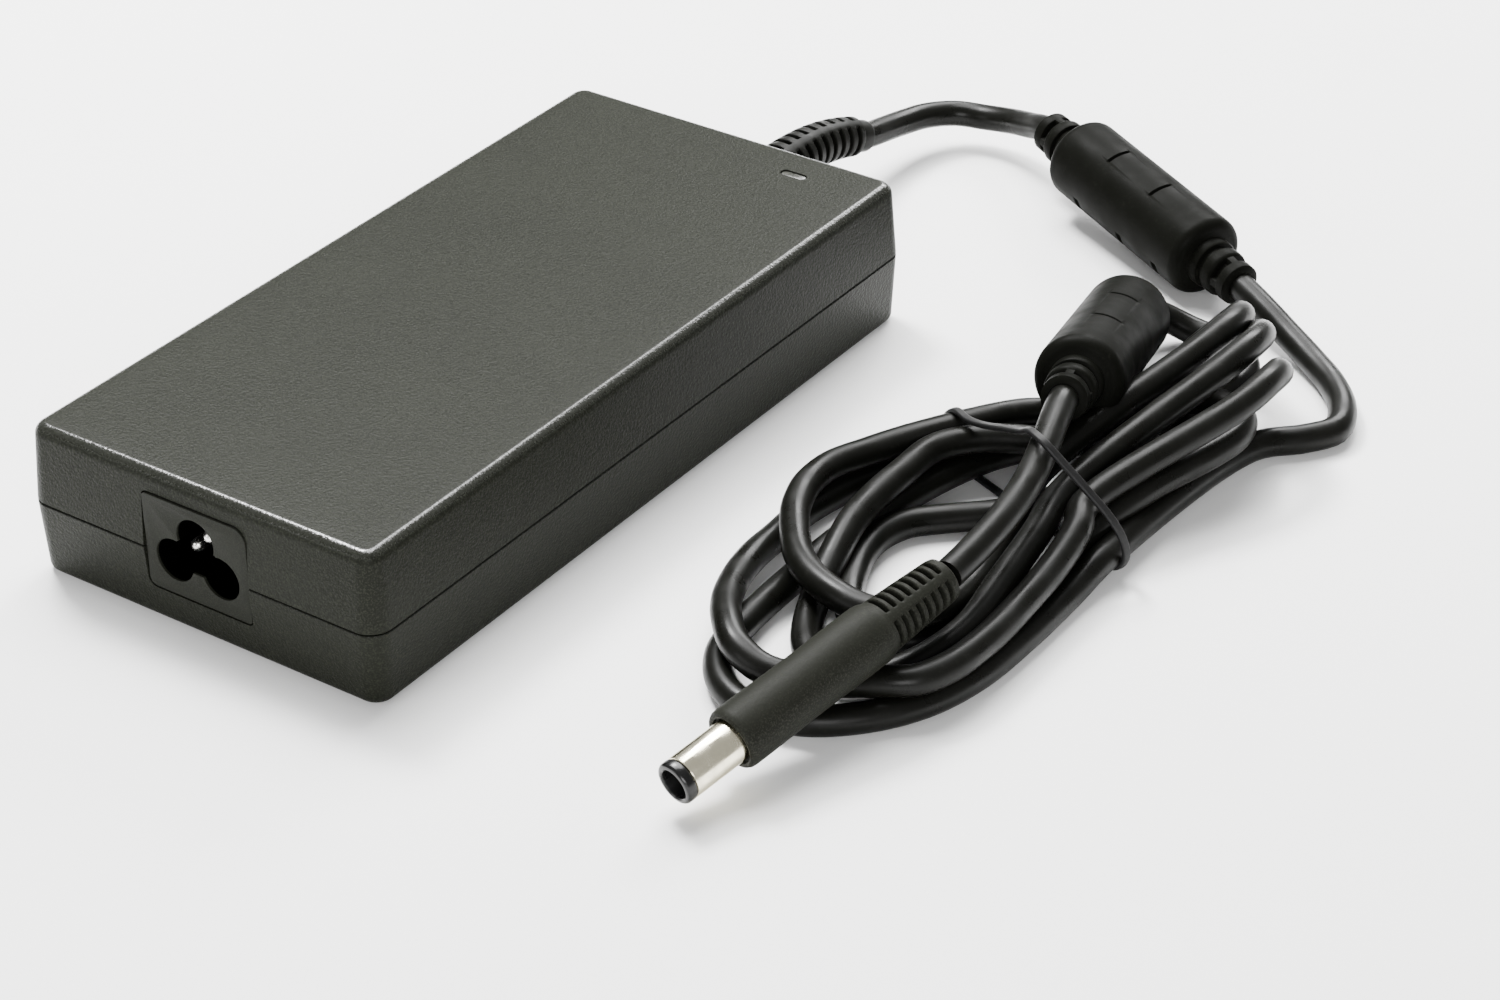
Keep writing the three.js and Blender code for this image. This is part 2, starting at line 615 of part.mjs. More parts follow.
function tieBand() {
  const loop = new THREE.CatmullRomCurve3(TIE_LOOP.map(vec), true);
  const turn = THREE.MathUtils.degToRad(TIE_TURN);
  const wide = new THREE.Vector3(-Math.sin(turn), Math.cos(turn), 0);
  const corners = [[1, 1], [-1, 1], [-1, -1], [1, -1]];
  const positions = [];
  const index = [];
  for (let k = 0; k < TIE_STEPS; k += 1) {
    const centre = loop.getPointAt(k / TIE_STEPS);
    const forward = loop.getTangentAt(k / TIE_STEPS);
    const thick = new THREE.Vector3().crossVectors(forward, wide).normalize();
    const across = new THREE.Vector3().crossVectors(thick, forward);
    corners.forEach(([u, v], i) => {
      const point = centre.clone().addScaledVector(thick, (u * TIE_THICKNESS) / 2);
      positions.push(...point.addScaledVector(across, (v * TIE_WIDTH) / 2).toArray());
      const a = k * 4 + i;
      const b = k * 4 + ((i + 1) % 4);
      const ahead = ((k + 1) % TIE_STEPS) * 4;
      const c = ahead + i;
      const d = ahead + ((i + 1) % 4);
      index.push(a, b, d, a, d, c);
    });
  }
  const geometry = new THREE.BufferGeometry();
  geometry.setAttribute('position', new THREE.Float32BufferAttribute(positions, 3));
  geometry.setIndex(index);
  return outward(geometry);
}

// ---- plug ------------------------------------------------------------------------------------------
const plugPoint = (distance) => pointToward(PLUG.back, PLUG.tip, distance);
const PLUG_FACE = BOOT_LENGTH + GRIP_LENGTH;      // where the barrel leaves the grip

function onPlug(profile, sides = 24) {
  return layAlong(lathe(profile, sides), PLUG.back, PLUG.tip);
}

function plugGrip() {
  const ribs = 7;
  const pitch = (BOOT_LENGTH - 1.5) / ribs;
  const profile = [[0, 0], [3.2, 0], [3.6, 0.5], [3.6, 1.5]];
  for (let i = 0; i < ribs; i += 1) {
    const from = 1.5 + i * pitch;
    const rib = THREE.MathUtils.lerp(4.0, 4.7, (i + 1) / ribs);
    profile.push([rib - 0.9, from], [rib - 0.9, from + pitch * 0.45]);
    profile.push([rib, from + pitch * 0.5], [rib, from + pitch]);
  }
  const recess = BARREL_RADIUS + GAP;
  profile.push([GRIP_RADIUS - 0.4, BOOT_LENGTH + 0.6], [GRIP_RADIUS, BOOT_LENGTH + 2]);
  profile.push([GRIP_RADIUS, PLUG_FACE - 0.8], [GRIP_RADIUS - 0.6, PLUG_FACE], [recess, PLUG_FACE]);
  profile.push([recess, PLUG_FACE - 5], [0, PLUG_FACE - 5]);
  return onPlug(profile);
}

const barrelEnd = () => vec(PLUG.back).distanceTo(vec(PLUG.tip));

function plugBarrel() {
  const inner = BARREL_RADIUS - 0.5;
  const from = PLUG_FACE - 4.7;
  const to = barrelEnd() - TIP_RING_LENGTH - GAP;
  const ring = [[inner, from], [BARREL_RADIUS, from], [BARREL_RADIUS, to], [inner, to], [inner, from]];
  return onPlug(ring);
}

function plugTipRing() {
  const from = PLUG_FACE - 1;
  const face = barrelEnd() - TIP_RING_LENGTH;
  const to = barrelEnd();
  const liner = BARREL_RADIUS - 0.5 - GAP;
  const bore = BARREL_BORE_RADIUS;
  return onPlug([
    [bore, from], [liner, from], [liner, face], [BARREL_RADIUS, face], [BARREL_RADIUS, to - 0.4],
    [BARREL_RADIUS - 0.4, to], [bore + 0.3, to], [bore, to - 0.3], [bore, from],
  ]);
}

function plugInnerContact() {
  const from = PLUG_FACE - 4.5;
  const outer = BARREL_BORE_RADIUS - GAP;
  const inner = outer - 0.4;
  const to = from + 9;
  return onPlug([[inner, from], [outer, from], [outer, to], [inner, to], [inner, from]], 20);
}

function plugCentrePin() {
  const from = PLUG_FACE - 4.6;
  const to = barrelEnd() - 2.4;
  return onPlug([[0, from], [0.4, from], [0.4, to - 0.3], [0.2, to], [0, to]], 12);
}

// ---- assembly --------------------------------------------------------------------------------------
const adapter = new THREE.Group();

function add(name, geometry, surface) {
  const mesh = new THREE.Mesh(geometry, surface);
  mesh.name = name;
  adapter.add(mesh);
}

add('top_shell', topShell(), charcoal());
add('bottom_shell', bottomShell(), charcoal());
add('rating_label', ratingLabel(), whiteSheet());
add('led_window', ledWindow(), clearLens());
add('status_led', statusLed(), clearLens());

add('ac_inlet_body', inletBody(), blackPlastic());
add('inlet_pin_live', inletPin(-PIN_LINE_X, PIN_LINE_Z, 4.5), nickel());
add('inlet_pin_neutral', inletPin(PIN_LINE_X, PIN_LINE_Z, 4.5), nickel());
add('inlet_pin_earth', inletPin(0, PIN_EARTH_Z, 2.5), nickel());

add('insulating_sheet', insulatingSheet(), whiteSheet());
add('circuit_board', circuitBoard(), greenBoard());
add('heat_spreader', heatSpreader(), aluminium());
add('fuse', fuse(), blackPlastic());
add('x_capacitor', blockOn([-10.5, -47], [10, 17, 14]), yellowFilm());
add('common_mode_choke', toroid(7, -44, 8.6, 3.8, 9), ferrite());
add('y_capacitor', discCapacitor(), yellowFilm());
add('bridge_rectifier', blockOn([19, -50], [3.6, 13, 14]), epoxy());
add('bulk_capacitor', bulkCapacitor(), sleeve());
add('pfc_inductor', blockOn([10, -17], [24, 26, 17]), ferrite());
add('primary_heat_sink', heatSink(29.5, [-46, 2], -4), aluminium());
add('switching_transistor', blockOn([27.2, -28], [3.2, 10, 14]).translate(0, 0, 2.4), epoxy());
add('transformer_core', transformerCore(), ferrite());
add('transformer_winding', transformerWinding(), copper());
add('control_board', blockOn([-9, 20], [1.2, 30, 14]), greenBoard());
add('optocoupler', blockOn([-15, 14], [5, 7, 3.6]), epoxy());
add('secondary_heat_sink', heatSink(-31.5, [4, 62], 5), aluminium());
add('output_rectifier', blockOn([-27.4, 30], [3.2, 10, 14]).translate(0, 0, 2.4), epoxy());
add('output_choke', toroid(-18, 46, 7, 3.4, 8), ferrite());
[[-2, 50], [8, 50], [18, 50]].forEach(([x, y], i) => {
  add(`output_capacitor_${i + 1}`, standingCapacitor(x, y, 4.4, 16), sleeve());
});
add('output_wire_positive', outputWire(1), cordJacket());
add('output_wire_negative', outputWire(-1), cordJacket());

add('strain_relief', strainRelief(), overmould());
add('cord_lead', tube(LEAD_ROUTE, LEAD_STEPS, CORD_RADIUS, CORD_SIDES), cordJacket());
add('ferrite_cover_near', ferriteCover(NEAR_FERRITE, COLLAR_LENGTH), overmould());
add('ferrite_core_near', ferriteCore(NEAR_FERRITE), ferrite());
add('cord_hank', hank(), cordJacket());
add('cord_tie', tieBand(), blackPlastic());
add('cord_tail', tube(TAIL_ROUTE, TAIL_STEPS, CORD_RADIUS, CORD_SIDES), cordJacket());
add('ferrite_cover_far', ferriteCover(FAR_FERRITE, SHORT_COLLAR), overmould());
add('ferrite_core_far', ferriteCore(FAR_FERRITE), ferrite());
add('plug_grip', plugGrip(), overmould());
add('plug_barrel', plugBarrel(), nickel());
add('plug_tip_ring', plugTipRing(), blackPlastic());
add('plug_inner_contact', plugInnerContact(), brass());
add('plug_centre_pin', plugCentrePin(), nickel());

export default adapter;
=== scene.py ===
import math

import bmesh
import bpy
from mathutils import Matrix, Vector


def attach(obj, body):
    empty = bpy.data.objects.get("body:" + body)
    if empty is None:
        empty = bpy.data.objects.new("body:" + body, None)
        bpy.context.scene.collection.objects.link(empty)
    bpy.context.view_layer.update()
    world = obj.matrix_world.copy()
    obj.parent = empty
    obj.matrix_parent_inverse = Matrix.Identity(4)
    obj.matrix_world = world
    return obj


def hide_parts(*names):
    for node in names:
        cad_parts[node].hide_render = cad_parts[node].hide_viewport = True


# Looks of the laptop power adapter: a charcoal brick with a grained skin, its inlet, and its fixed cord with
# two ferrites, wound into a hank and tied. Sizes are in millimetres and turned into metres by MM.
MM = 0.001
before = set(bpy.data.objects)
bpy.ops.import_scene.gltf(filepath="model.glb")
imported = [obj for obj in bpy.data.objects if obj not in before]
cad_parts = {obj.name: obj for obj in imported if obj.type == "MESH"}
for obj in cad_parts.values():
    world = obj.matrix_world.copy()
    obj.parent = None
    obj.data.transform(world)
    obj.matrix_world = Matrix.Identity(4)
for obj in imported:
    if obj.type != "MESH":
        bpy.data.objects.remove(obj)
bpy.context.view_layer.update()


def mm(*numbers):
    return Vector(numbers) * MM


# ---- camera ----------------------------------------------------------------------------------------
AIM_HEIGHT = 15.0            # the camera looks past this height on the case's own centre line
CAMERA_AZIMUTH = 34.81       # degrees round from the inlet end towards the +X side
CAMERA_ELEVATION = 32.63
CAMERA_ROLL = -0.46
CAMERA_DISTANCE = 640.5
CAMERA_RIGHT = 46.36         # how far the view's centre lies to the right of that point, and below it
CAMERA_DOWN = 24.34
CAMERA_LENS = 86.14          # on a 36 mm sensor


def add_camera():
    azimuth, elevation, roll = (math.radians(a) for a in (CAMERA_AZIMUTH, CAMERA_ELEVATION, CAMERA_ROLL))
    back = Vector((
        math.sin(azimuth) * math.cos(elevation),
        -math.cos(azimuth) * math.cos(elevation),
        math.sin(elevation),
    ))
    level = Vector((0, 0, 1)).cross(back).normalized()
    steep = back.cross(level)
    right = level * math.cos(roll) + steep * math.sin(roll)
    up = steep * math.cos(roll) - level * math.sin(roll)
    data = bpy.data.cameras.new("camera")
    data.lens = CAMERA_LENS
    data.sensor_width = 36
    data.clip_start = 0.01
    camera = bpy.data.objects.new("camera", data)
    place = mm(0, 0, AIM_HEIGHT) + (right * CAMERA_RIGHT - up * CAMERA_DOWN + back * CAMERA_DISTANCE) * MM
    turn = Matrix((right, up, back)).transposed()
    camera.matrix_world = Matrix.Translation(place) @ turn.to_4x4()
    bpy.context.scene.collection.objects.link(camera)
    bpy.context.scene.camera = camera


add_camera()


# ---- the cord's route ------------------------------------------------------------------------------
CORD_RADIUS = 2.65
RELIEF_ROUTE = [
    (0, 73, 14.5), (0, 80, 14.5), (0, 88, 14.8), (0, 97, 14.9), (0.2, 105, 14.3), (1, 112.5, 12.9),
    (2.4, 119, 11),
]
FERRITE_RADIUS = 8.1
FERRITE_LENGTH = 43.5
COLLAR_LENGTH = 10.5
SHORT_COLLAR = 3
NEAR_FERRITE = ((43, 134.8, 11.6), (82.2, 116.4, 8.2))
FAR_FERRITE = ((82.3, 85.5, 10.8), (94.4, 44.8, 20.4))
PLUG_BACK = (105.4, -15.9, 17.5)
PLUG_TIP = (92.6, -73.6, 6.4)


def along(span, *distances):
    start = Vector(span[0])
    direction = (Vector(span[1]) - start).normalized()
    return [tuple(start + direction * d) for d in distances]


LEAD_ROUTE = [
    (2.6, 125.6, 9.7), (3, 132.2, 8.6), (4.6, 138.8, 7.9), (8.6, 144.2, 7.3), (14.4, 146.3, 7.1),
    (20.6, 145.8, 8.2), (26.8, 143.1, 10.1),
    *along(NEAR_FERRITE, -COLLAR_LENGTH, 0, 21.7, FERRITE_LENGTH, FERRITE_LENGTH + COLLAR_LENGTH),
    (98.4, 108.8, 6), (105.4, 105.4, 4.2), (112.4, 101.4, 3), (119.4, 96, 2.7), (124.8, 89.2, 2.7),
    (126.9, 82.2, 2.7), (123.6, 76.4, 2.7), (118.2, 70.6, 2.7), (115.6, 62, 2.7),
]
TAIL_ROUTE = [
    (103.2, 72, 2.7), (103.6, 80, 2.7), (104.8, 86, 2.7), (103.8, 91.8, 2.7), (100, 96.6, 2.7),
    (94, 98.6, 2.7),
    (88.4, 98.2, 3.6), (83.6, 96.2, 5.9), (80.9, 92.4, 8.5),
    *along(FAR_FERRITE, -SHORT_COLLAR, 0, 21.7, FERRITE_LENGTH, FERRITE_LENGTH + COLLAR_LENGTH),
    (99, 29.4, 22.4), (101.2, 22.6, 21.7), (103.4, 14.8, 20.8), (104.9, 6.6, 19.8), (105.6, -2, 18.9),
    (105.7, -9, 18.2), (105.5, -15.2, 17.6),
]

# The tie crosses the hank on a slant. Where a strand passes under it is given as a place in the bundle:
# how far across the tie it lies, and its height.
TIE_CENTRE = (93.5, 30.3)
TIE_TURN = math.radians(-23.5)

# Each turn runs from the fold (or the lead) down through its place under the tie, round the plug's end of the
# hank and back up through the tie. "reach" leads the strand on to its fold, which stands on edge: (x, z) of
# its lower and of its upper strand, and how far along Y it goes.
TURNS = [
    {"down": (22.6, 4.3),
     "round": [
         (113.9, 9, 2.8), (114, -5, 2.7), (113.3, -18, 2.7), (110.4, -29, 2.7), (104.8, -37.8, 2.7),
         (96.6, -44.4, 2.7), (87.4, -46.2, 2.7), (80.4, -43, 2.7), (75.4, -36.4, 2.7), (73.6, -27, 2.7),
         (73, -12, 2.7), (73.4, 8, 2.7),
     ],
     "up": (-13.8, 4.3), "fold": ((97.4, 2.7), (111.6, 18), 88), "run": 10},
    {"down": (10.4, 10.7),
     "round": [
         (105, 14, 9.6), (106.7, 0.5, 8.4), (108.3, -13, 7.2), (106.8, -20.8, 6), (103.4, -26.4, 4.4),
         (98.4, -30.2, 2.9), (92.4, -31.2, 2.7), (86.8, -27.8, 2.7), (82.6, -21.6, 2.8), (79.8, -14.4, 4),
         (77.8, -6.4, 6.4), (76, 2, 8), (75.2, 10, 8.4), (75.4, 18.5, 8.8), (76.4, 28, 9.4),
     ],
     "up": (-12.4, 9.6), "reach": [(92.5, 42, 8.9), (103.4, 48.6, 8.7)],
     "fold": ((108.8, 2.8), (120, 17.8), 77.5), "run": 8},
    {"down": (16.4, 11.3),
     "round": [
         (110.8, 17.6, 10.6), (112.2, 8, 9.3), (112.9, -4, 8.3), (113.2, -16, 8), (112.2, -25.4, 8),
         (109.6, -31, 7.8), (105.2, -33.6, 7.3), (99.6, -35.6, 6), (93, -38.4, 5.6), (86.6, -40.4, 6.4),
         (80.6, -39.2, 7.8), (75.6, -34.6, 8), (71.2, -28.6, 7), (67.4, -20.4, 5.6), (64.8, -11.4, 4.2),
         (63.6, -3, 3), (63.2, 8, 2.7), (67, 24, 2.7),
     ],
     "up": (-19.3, 4.4), "fold": ((92.4, 2.7), (105, 17.8), 92), "run": 10},
    {"down": (3.4, 11.3),
     "round": [
         (98.4, 17, 7.6), (99.6, 8, 5.2), (100.8, 0, 5), (101.9, -7, 6.4), (100.9, -13.8, 8),
         (97.2, -18, 8.3),
         (91.8, -19.6, 8.4), (85.8, -18.9, 8.8), (80, -16.6, 8.9), (75.2, -13, 8.8), (70.4, -7.2, 8.6),
         (65.8, 0, 8.4), (63.2, 7.6, 8.2), (63.2, 15, 8), (65.8, 21.6, 8), (69.6, 28.6, 8.4),
     ],
     "up": (-18.1, 9.7), "reach": [(84, 47.5, 9.4), (93.5, 54, 8.2)],
     "fold": ((98.6, 7.5), (118.2, 9.7), 70), "run": 0},
    {"before": [(112.7, 37, 8.6)], "down": (17.2, 6),
     "round": [
         (108, 10, 2.9), (107.4, 1, 2.7), (105.8, -7.4, 2.7), (101.8, -14.4, 2.7), (95.6, -18, 2.7),
         (89, -16.6, 2.7),
         (84.2, -11.6, 2.7), (81, -5.6, 2.7), (78.6, 1, 2.7), (78, 7.4, 2.7), (79.8, 13.4, 2.7),
         (84.6, 18.6, 2.7),
         (91, 24, 3),
     ],
     "up": (4, 4.4)},
]


def under_tie(across, height):
    x, y = TIE_CENTRE
    return (x + across * math.cos(TIE_TURN), y + across * math.sin(TIE_TURN), height)


def fold(low, high, tip, run):
    radius = math.hypot(high[0] - low[0], high[1] - low[1]) / 2
    points = [(low[0], tip - radius - run, low[1])] if run else []
    for degrees in (-90, -45, 0, 45, 90):
        share = (1 + math.sin(math.radians(degrees))) / 2
        out = tip - radius + radius * math.cos(math.radians(degrees))
        points.append((low[0] + (high[0] - low[0]) * share, out, low[1] + (high[1] - low[1]) * share))
    if run:
        points.append((high[0] - 0.6, tip - radius - 10, high[1] - 0.4))
    return points


def hank_route():
    points = []
    for turn in TURNS:
        points += turn.get("before", [])
        points += [under_tie(*turn["down"]), *turn["round"], under_tie(*turn["up"])]
        points += turn.get("reach", [])
        if "fold" in turn:
            points += fold(*turn["fold"], turn["run"])
    return points


def smooth_line(points, steps=12):
    """A centripetal Catmull-Rom curve through the points."""
    p = [Vector(q) for q in points]
    p = [2 * p[0] - p[1], *p, 2 * p[-1] - p[-2]]
    line = []
    for a, b, c, d in zip(p, p[1:], p[2:], p[3:]):
        ab, bc, cd = (math.sqrt(max((v - u).length, 1e-6)) for u, v in ((a, b), (b, c), (c, d)))
        leave = ((b - a) / ab - (c - a) / (ab + bc) + (c - b) / bc) * bc
        arrive = ((c - b) / bc - (d - b) / (bc + cd) + (d - c) / cd) * bc
        for k in range(steps):
            t = k / steps
            bend = -3 * b + 3 * c - 2 * leave - arrive
            twist = 2 * b - 2 * c + leave + arrive
            line.append(b + leave * t + bend * t ** 2 + twist * t ** 3)
    line.append(p[-2])
    return line


def even_line(line, spacing):
    """The same line with its points an even distance apart."""
    total = sum((b - a).length for a, b in zip(line, line[1:]))
    count = max(2, round(total / spacing))
    points = [line[0].copy()]
    gone = 0.0
    for a, b in zip(line, line[1:]):
        length = (b - a).length
        while len(points) < count and gone + length >= total * len(points) / count:
            points.append(a.lerp(b, (total * len(points) / count - gone) / length))
        gone += length
    points.append(line[-1].copy())
    return points, total


def make_cord():
    route = RELIEF_ROUTE + LEAD_ROUTE + hank_route() + TAIL_ROUTE
    points, total = even_line(smooth_line(route), 1.5)
    data = bpy.data.curves.new("output_cord", "CURVE")
    data.dimensions = "3D"
    data.bevel_depth = CORD_RADIUS * MM
    data.bevel_resolution = 7
    data.use_fill_caps = True
    spline = data.splines.new("POLY")
    spline.points.add(len(points) - 1)
    for place, point in zip(spline.points, points):
        place.co = (point.x * MM, point.y * MM, max(point.z, CORD_RADIUS) * MM, 1)
    spline.use_smooth = True
    cord = bpy.data.objects.new("output_cord", data)
    bpy.context.scene.collection.objects.link(cord)
    return cord, total * MM


# ---- mesh helpers ----------------------------------------------------------------------------------
def add_mesh(name, vertices, faces, sharp=35):
    data = bpy.data.meshes.new(name)
    data.from_pydata([tuple(Vector(v) * MM) for v in vertices], [], faces)
    piece = bpy.data.objects.new(name, data)
    bpy.context.scene.collection.objects.link(piece)
    tidy(piece, sharp)
    return piece


def tidy(piece, sharp=35):
    shape = bmesh.new()
    shape.from_mesh(piece.data)
    bmesh.ops.remove_doubles(shape, verts=shape.verts, dist=1e-7)
    bmesh.ops.recalc_face_normals(shape, faces=shape.faces)
    shape.to_mesh(piece.data)
    shape.free()
    piece.data.shade_smooth()
    piece.data.set_sharp_from_angle(angle=math.radians(sharp))


def apply_modifiers(piece, sharp=35):
    view = bpy.context.evaluated_depsgraph_get()
    baked = bpy.data.meshes.new_from_object(piece.evaluated_get(view))
    piece.modifiers.clear()
    piece.data = baked
    tidy(piece, sharp)


def cut_with(piece, *tools, operation="DIFFERENCE"):
    for tool in tools:
        modifier = piece.modifiers.new("cut", "BOOLEAN")
        modifier.operation = operation
        modifier.solver = "EXACT"
        modifier.object = tool
    bpy.context.view_layer.update()
    apply_modifiers(piece)
    for tool in tools:
        bpy.data.objects.remove(tool)


def soften(piece, width, segments=2, limit=40):
    """Rounds the piece's sharp edges."""
    modifier = piece.modifiers.new("soften", "BEVEL")
    modifier.width = width * MM
    modifier.segments = segments
    modifier.limit_method = "ANGLE"
    modifier.angle_limit = math.radians(limit)
    modifier.harden_normals = False
    bpy.context.view_layer.update()
    apply_modifiers(piece)


def rings_mesh(name, rings, closed=False, sharp=35):
    """Joins rings of points, each with the same number of points, into one closed body."""
    count = len(rings[0])
    vertices = [p for ring in rings for p in ring]
    faces = []
    pairs = len(rings) if closed else len(rings) - 1
    for r in range(pairs):
        a = r * count
        b = ((r + 1) % len(rings)) * count
        for i in range(count):
            j = (i + 1) % count
            faces.append((a + i, a + j, b + j, b + i))
    if not closed:
        faces.append(tuple(range(count)))
        faces.append(tuple(range((len(rings) - 1) * count, len(rings) * count)))
    return add_mesh(name, vertices, faces, sharp)


def rounded_ring(x, y, radii, corner_steps=10):
    """Outline of a rounded rectangle of half sizes x and y, anticlockwise, as (x, y) pairs. radii is one
    number, or one for each corner from the +X +Y one on."""
    ring = []
    radii = radii if isinstance(radii, (list, tuple)) else [radii] * 4
    corners = ((x, y, 0), (-x, y, 90), (-x, -y, 180), (x, -y, 270))
    for (cx, cy, start), radius in zip(corners, radii):
        for k in range(corner_steps + 1):
            angle = math.radians(start + 90 * k / corner_steps)
            centre = (math.copysign(abs(cx) - radius, cx), math.copysign(abs(cy) - radius, cy))
            ring.append((centre[0] + radius * math.cos(angle), centre[1] + radius * math.sin(angle)))
    return ring


def plate_y(name, half_width, z, corner, y, corner_steps=10):
    """A rounded rectangle in X and Z that runs from y[0] to y[1]."""
    middle = (z[0] + z[1]) / 2
    outline = rounded_ring(half_width, (z[1] - z[0]) / 2, corner, corner_steps)
    return rings_mesh(name, [[(u, at, middle + v) for u, v in outline] for at in y])


def plate_z(name, centre, half, corner, z, corner_steps=10):
    outline = rounded_ring(half[0], half[1], corner, corner_steps)
    return rings_mesh(name, [[(centre[0] + u, centre[1] + v, at) for u, v in outline] for at in z])


def rod_y(name, radius, x, z, y, sides=48):
    turn = 2 * math.pi / sides
    circle = [(radius * math.cos(k * turn), radius * math.sin(k * turn)) for k in range(sides)]
    return rings_mesh(name, [[(x + u, at, z + v) for u, v in circle] for at in y])


def ease(value, low, high):
    t = min(max((value - low) / (high - low), 0), 1)
    return t * t * (3 - 2 * t)


class Path:
    """A line that tells its centre, and two directions across it, at any distance along it."""

    def __init__(self, points):
        self.line = [Vector(points[0])]
        self.marks = [0.0]
        for point in points[1:]:
            step = (Vector(point) - self.line[-1]).length
            if step > 1e-4:
                self.line.append(Vector(point))
                self.marks.append(self.marks[-1] + step)
        self.length = self.marks[-1]

    def at(self, distance):
        marks = self.marks
        k = 0
        while k < len(marks) - 2 and marks[k + 1] < distance:
            k += 1
        share = (distance - marks[k]) / (marks[k + 1] - marks[k])
        before = self.line[max(k - 1, 0)]
        after = self.line[min(k + 2, len(self.line) - 1)]
        return self.line[k].lerp(self.line[k + 1], share), (after - before).normalized()

    def ring(self, distance, radius, sides):
        """radius is a number, or a function of the angle round the path, in degrees from its upper side."""
        centre, forward = self.at(distance)
        side = forward.cross(Vector((0, 0, 1))).normalized()
        up = side.cross(forward)
        points = []
        for k in range(sides):
            degrees = 360 * k / sides - 180
            angle = math.radians(degrees)
            r = radius(degrees) if callable(radius) else radius
            points.append(centre + (up * math.cos(angle) + side * math.sin(angle)) * r)
        return points


def swept(name, path, outer, bore, sides=96, sharp=35):
    """A body along a path. outer and bore are lists of (distance, radius); the bore runs back through it."""
    rings = [path.ring(d, r, sides) for d, r in outer]
    if not bore:
        return rings_mesh(name, rings, sharp=sharp)
    rings += [path.ring(d, r, sides) for d, r in reversed(bore)]
    return rings_mesh(name, rings, closed=True, sharp=sharp)


def fillet_profile(start, end, radius, rounding, steps=6):
    """(distance, radius) points of a drum with rounded ends."""
    points = []
    for k in range(steps + 1):
        angle = math.radians(90 * k / steps)
        points.append((start + rounding * (1 - math.sin(angle)), radius - rounding * (1 - math.cos(angle))))
    points.reverse()
    mirror = [(start + end - d, r) for d, r in reversed(points)]
    return points + mirror


# ---- materials -------------------------------------------------------------------------------------
class Shader:
    """A principled material with small helpers for its texture nodes."""

    def __init__(self, name):
        self.material = bpy.data.materials.new(name)
        self.material.use_nodes = True
        self.nodes = self.material.node_tree.nodes
        self.links = self.material.node_tree.links
        self.surface = self.nodes["Principled BSDF"]
        self.place = self.nodes.new("ShaderNodeTexCoord").outputs["Object"]

    def noise(self, size, detail=2, stretch=None):
        """Noise whose spots are about size millimetres across."""
        node = self.nodes.new("ShaderNodeTexNoise")
        node.inputs["Scale"].default_value = 1 / (size * MM)
        node.inputs["Detail"].default_value = detail
        source = self.place
        if stretch:
            mapping = self.nodes.new("ShaderNodeMapping")
            mapping.inputs["Scale"].default_value = stretch
            self.links.new(source, mapping.inputs["Vector"])
            source = mapping.outputs["Vector"]
        self.links.new(source, node.inputs["Vector"])
        return node.outputs["Fac"]

    def cells(self, size):
        node = self.nodes.new("ShaderNodeTexVoronoi")
        node.feature = "SMOOTH_F1"
        node.inputs["Scale"].default_value = 1 / (size * MM)
        self.links.new(self.place, node.inputs["Vector"])
        return node.outputs["Distance"]

    def spread(self, value, low, high, to_low, to_high):
        node = self.nodes.new("ShaderNodeMapRange")
        node.interpolation_type = "SMOOTHSTEP"
        limits = (("From Min", low), ("From Max", high), ("To Min", to_low), ("To Max", to_high))
        for socket, number in limits:
            node.inputs[socket].default_value = number
        self.links.new(value, node.inputs["Value"])
        return node.outputs["Result"]

    def mix(self, share, first, second):
        node = self.nodes.new("ShaderNodeMix")
        node.data_type = "RGBA"
        for name, value in (("A", first), ("B", second)):
            if isinstance(value, tuple):
                node.inputs[name].default_value = (*value, 1)
            else:
                self.links.new(value, node.inputs[name])
        self.links.new(share, node.inputs["Factor"])
        return node.outputs["Result"]

    def math(self, operation, a, b):
        node = self.nodes.new("ShaderNodeMath")
        node.operation = operation
        node.use_clamp = operation != "ADD"
        for socket, value in zip(node.inputs, (a, b)):
            if isinstance(value, (int, float)):
                socket.default_value = value
            else:
                self.links.new(value, socket)
        return node.outputs["Value"]

    def facing_up(self):
        """How far the surface faces up, from -1 to 1."""
        geometry = self.nodes.new("ShaderNodeNewGeometry")
        return self.split(geometry.outputs["Normal"], "Z")

    def split(self, vector, axis):
        node = self.nodes.new("ShaderNodeSeparateXYZ")
        self.links.new(vector, node.inputs["Vector"])
        return node.outputs[axis]

    def bump(self, height, depth, strength=1.0, over=None):
        node = self.nodes.new("ShaderNodeBump")
        node.inputs["Distance"].default_value = depth * MM
        if isinstance(strength, float):
            node.inputs["Strength"].default_value = strength
        else:
            self.links.new(strength, node.inputs["Strength"])
        self.links.new(height, node.inputs["Height"])
        if over is not None:
            self.links.new(over, node.inputs["Normal"])
        return node.outputs["Normal"]

    def use(self, **sockets):
        for name, value in sockets.items():
            socket = self.surface.inputs[name.replace("_", " ")]
            if isinstance(value, bpy.types.NodeSocket):
                self.links.new(value, socket)
            else:
                socket.default_value = value
        return self.material


def shade(colour, factor):
    return tuple(min(c * factor, 1) for c in colour)


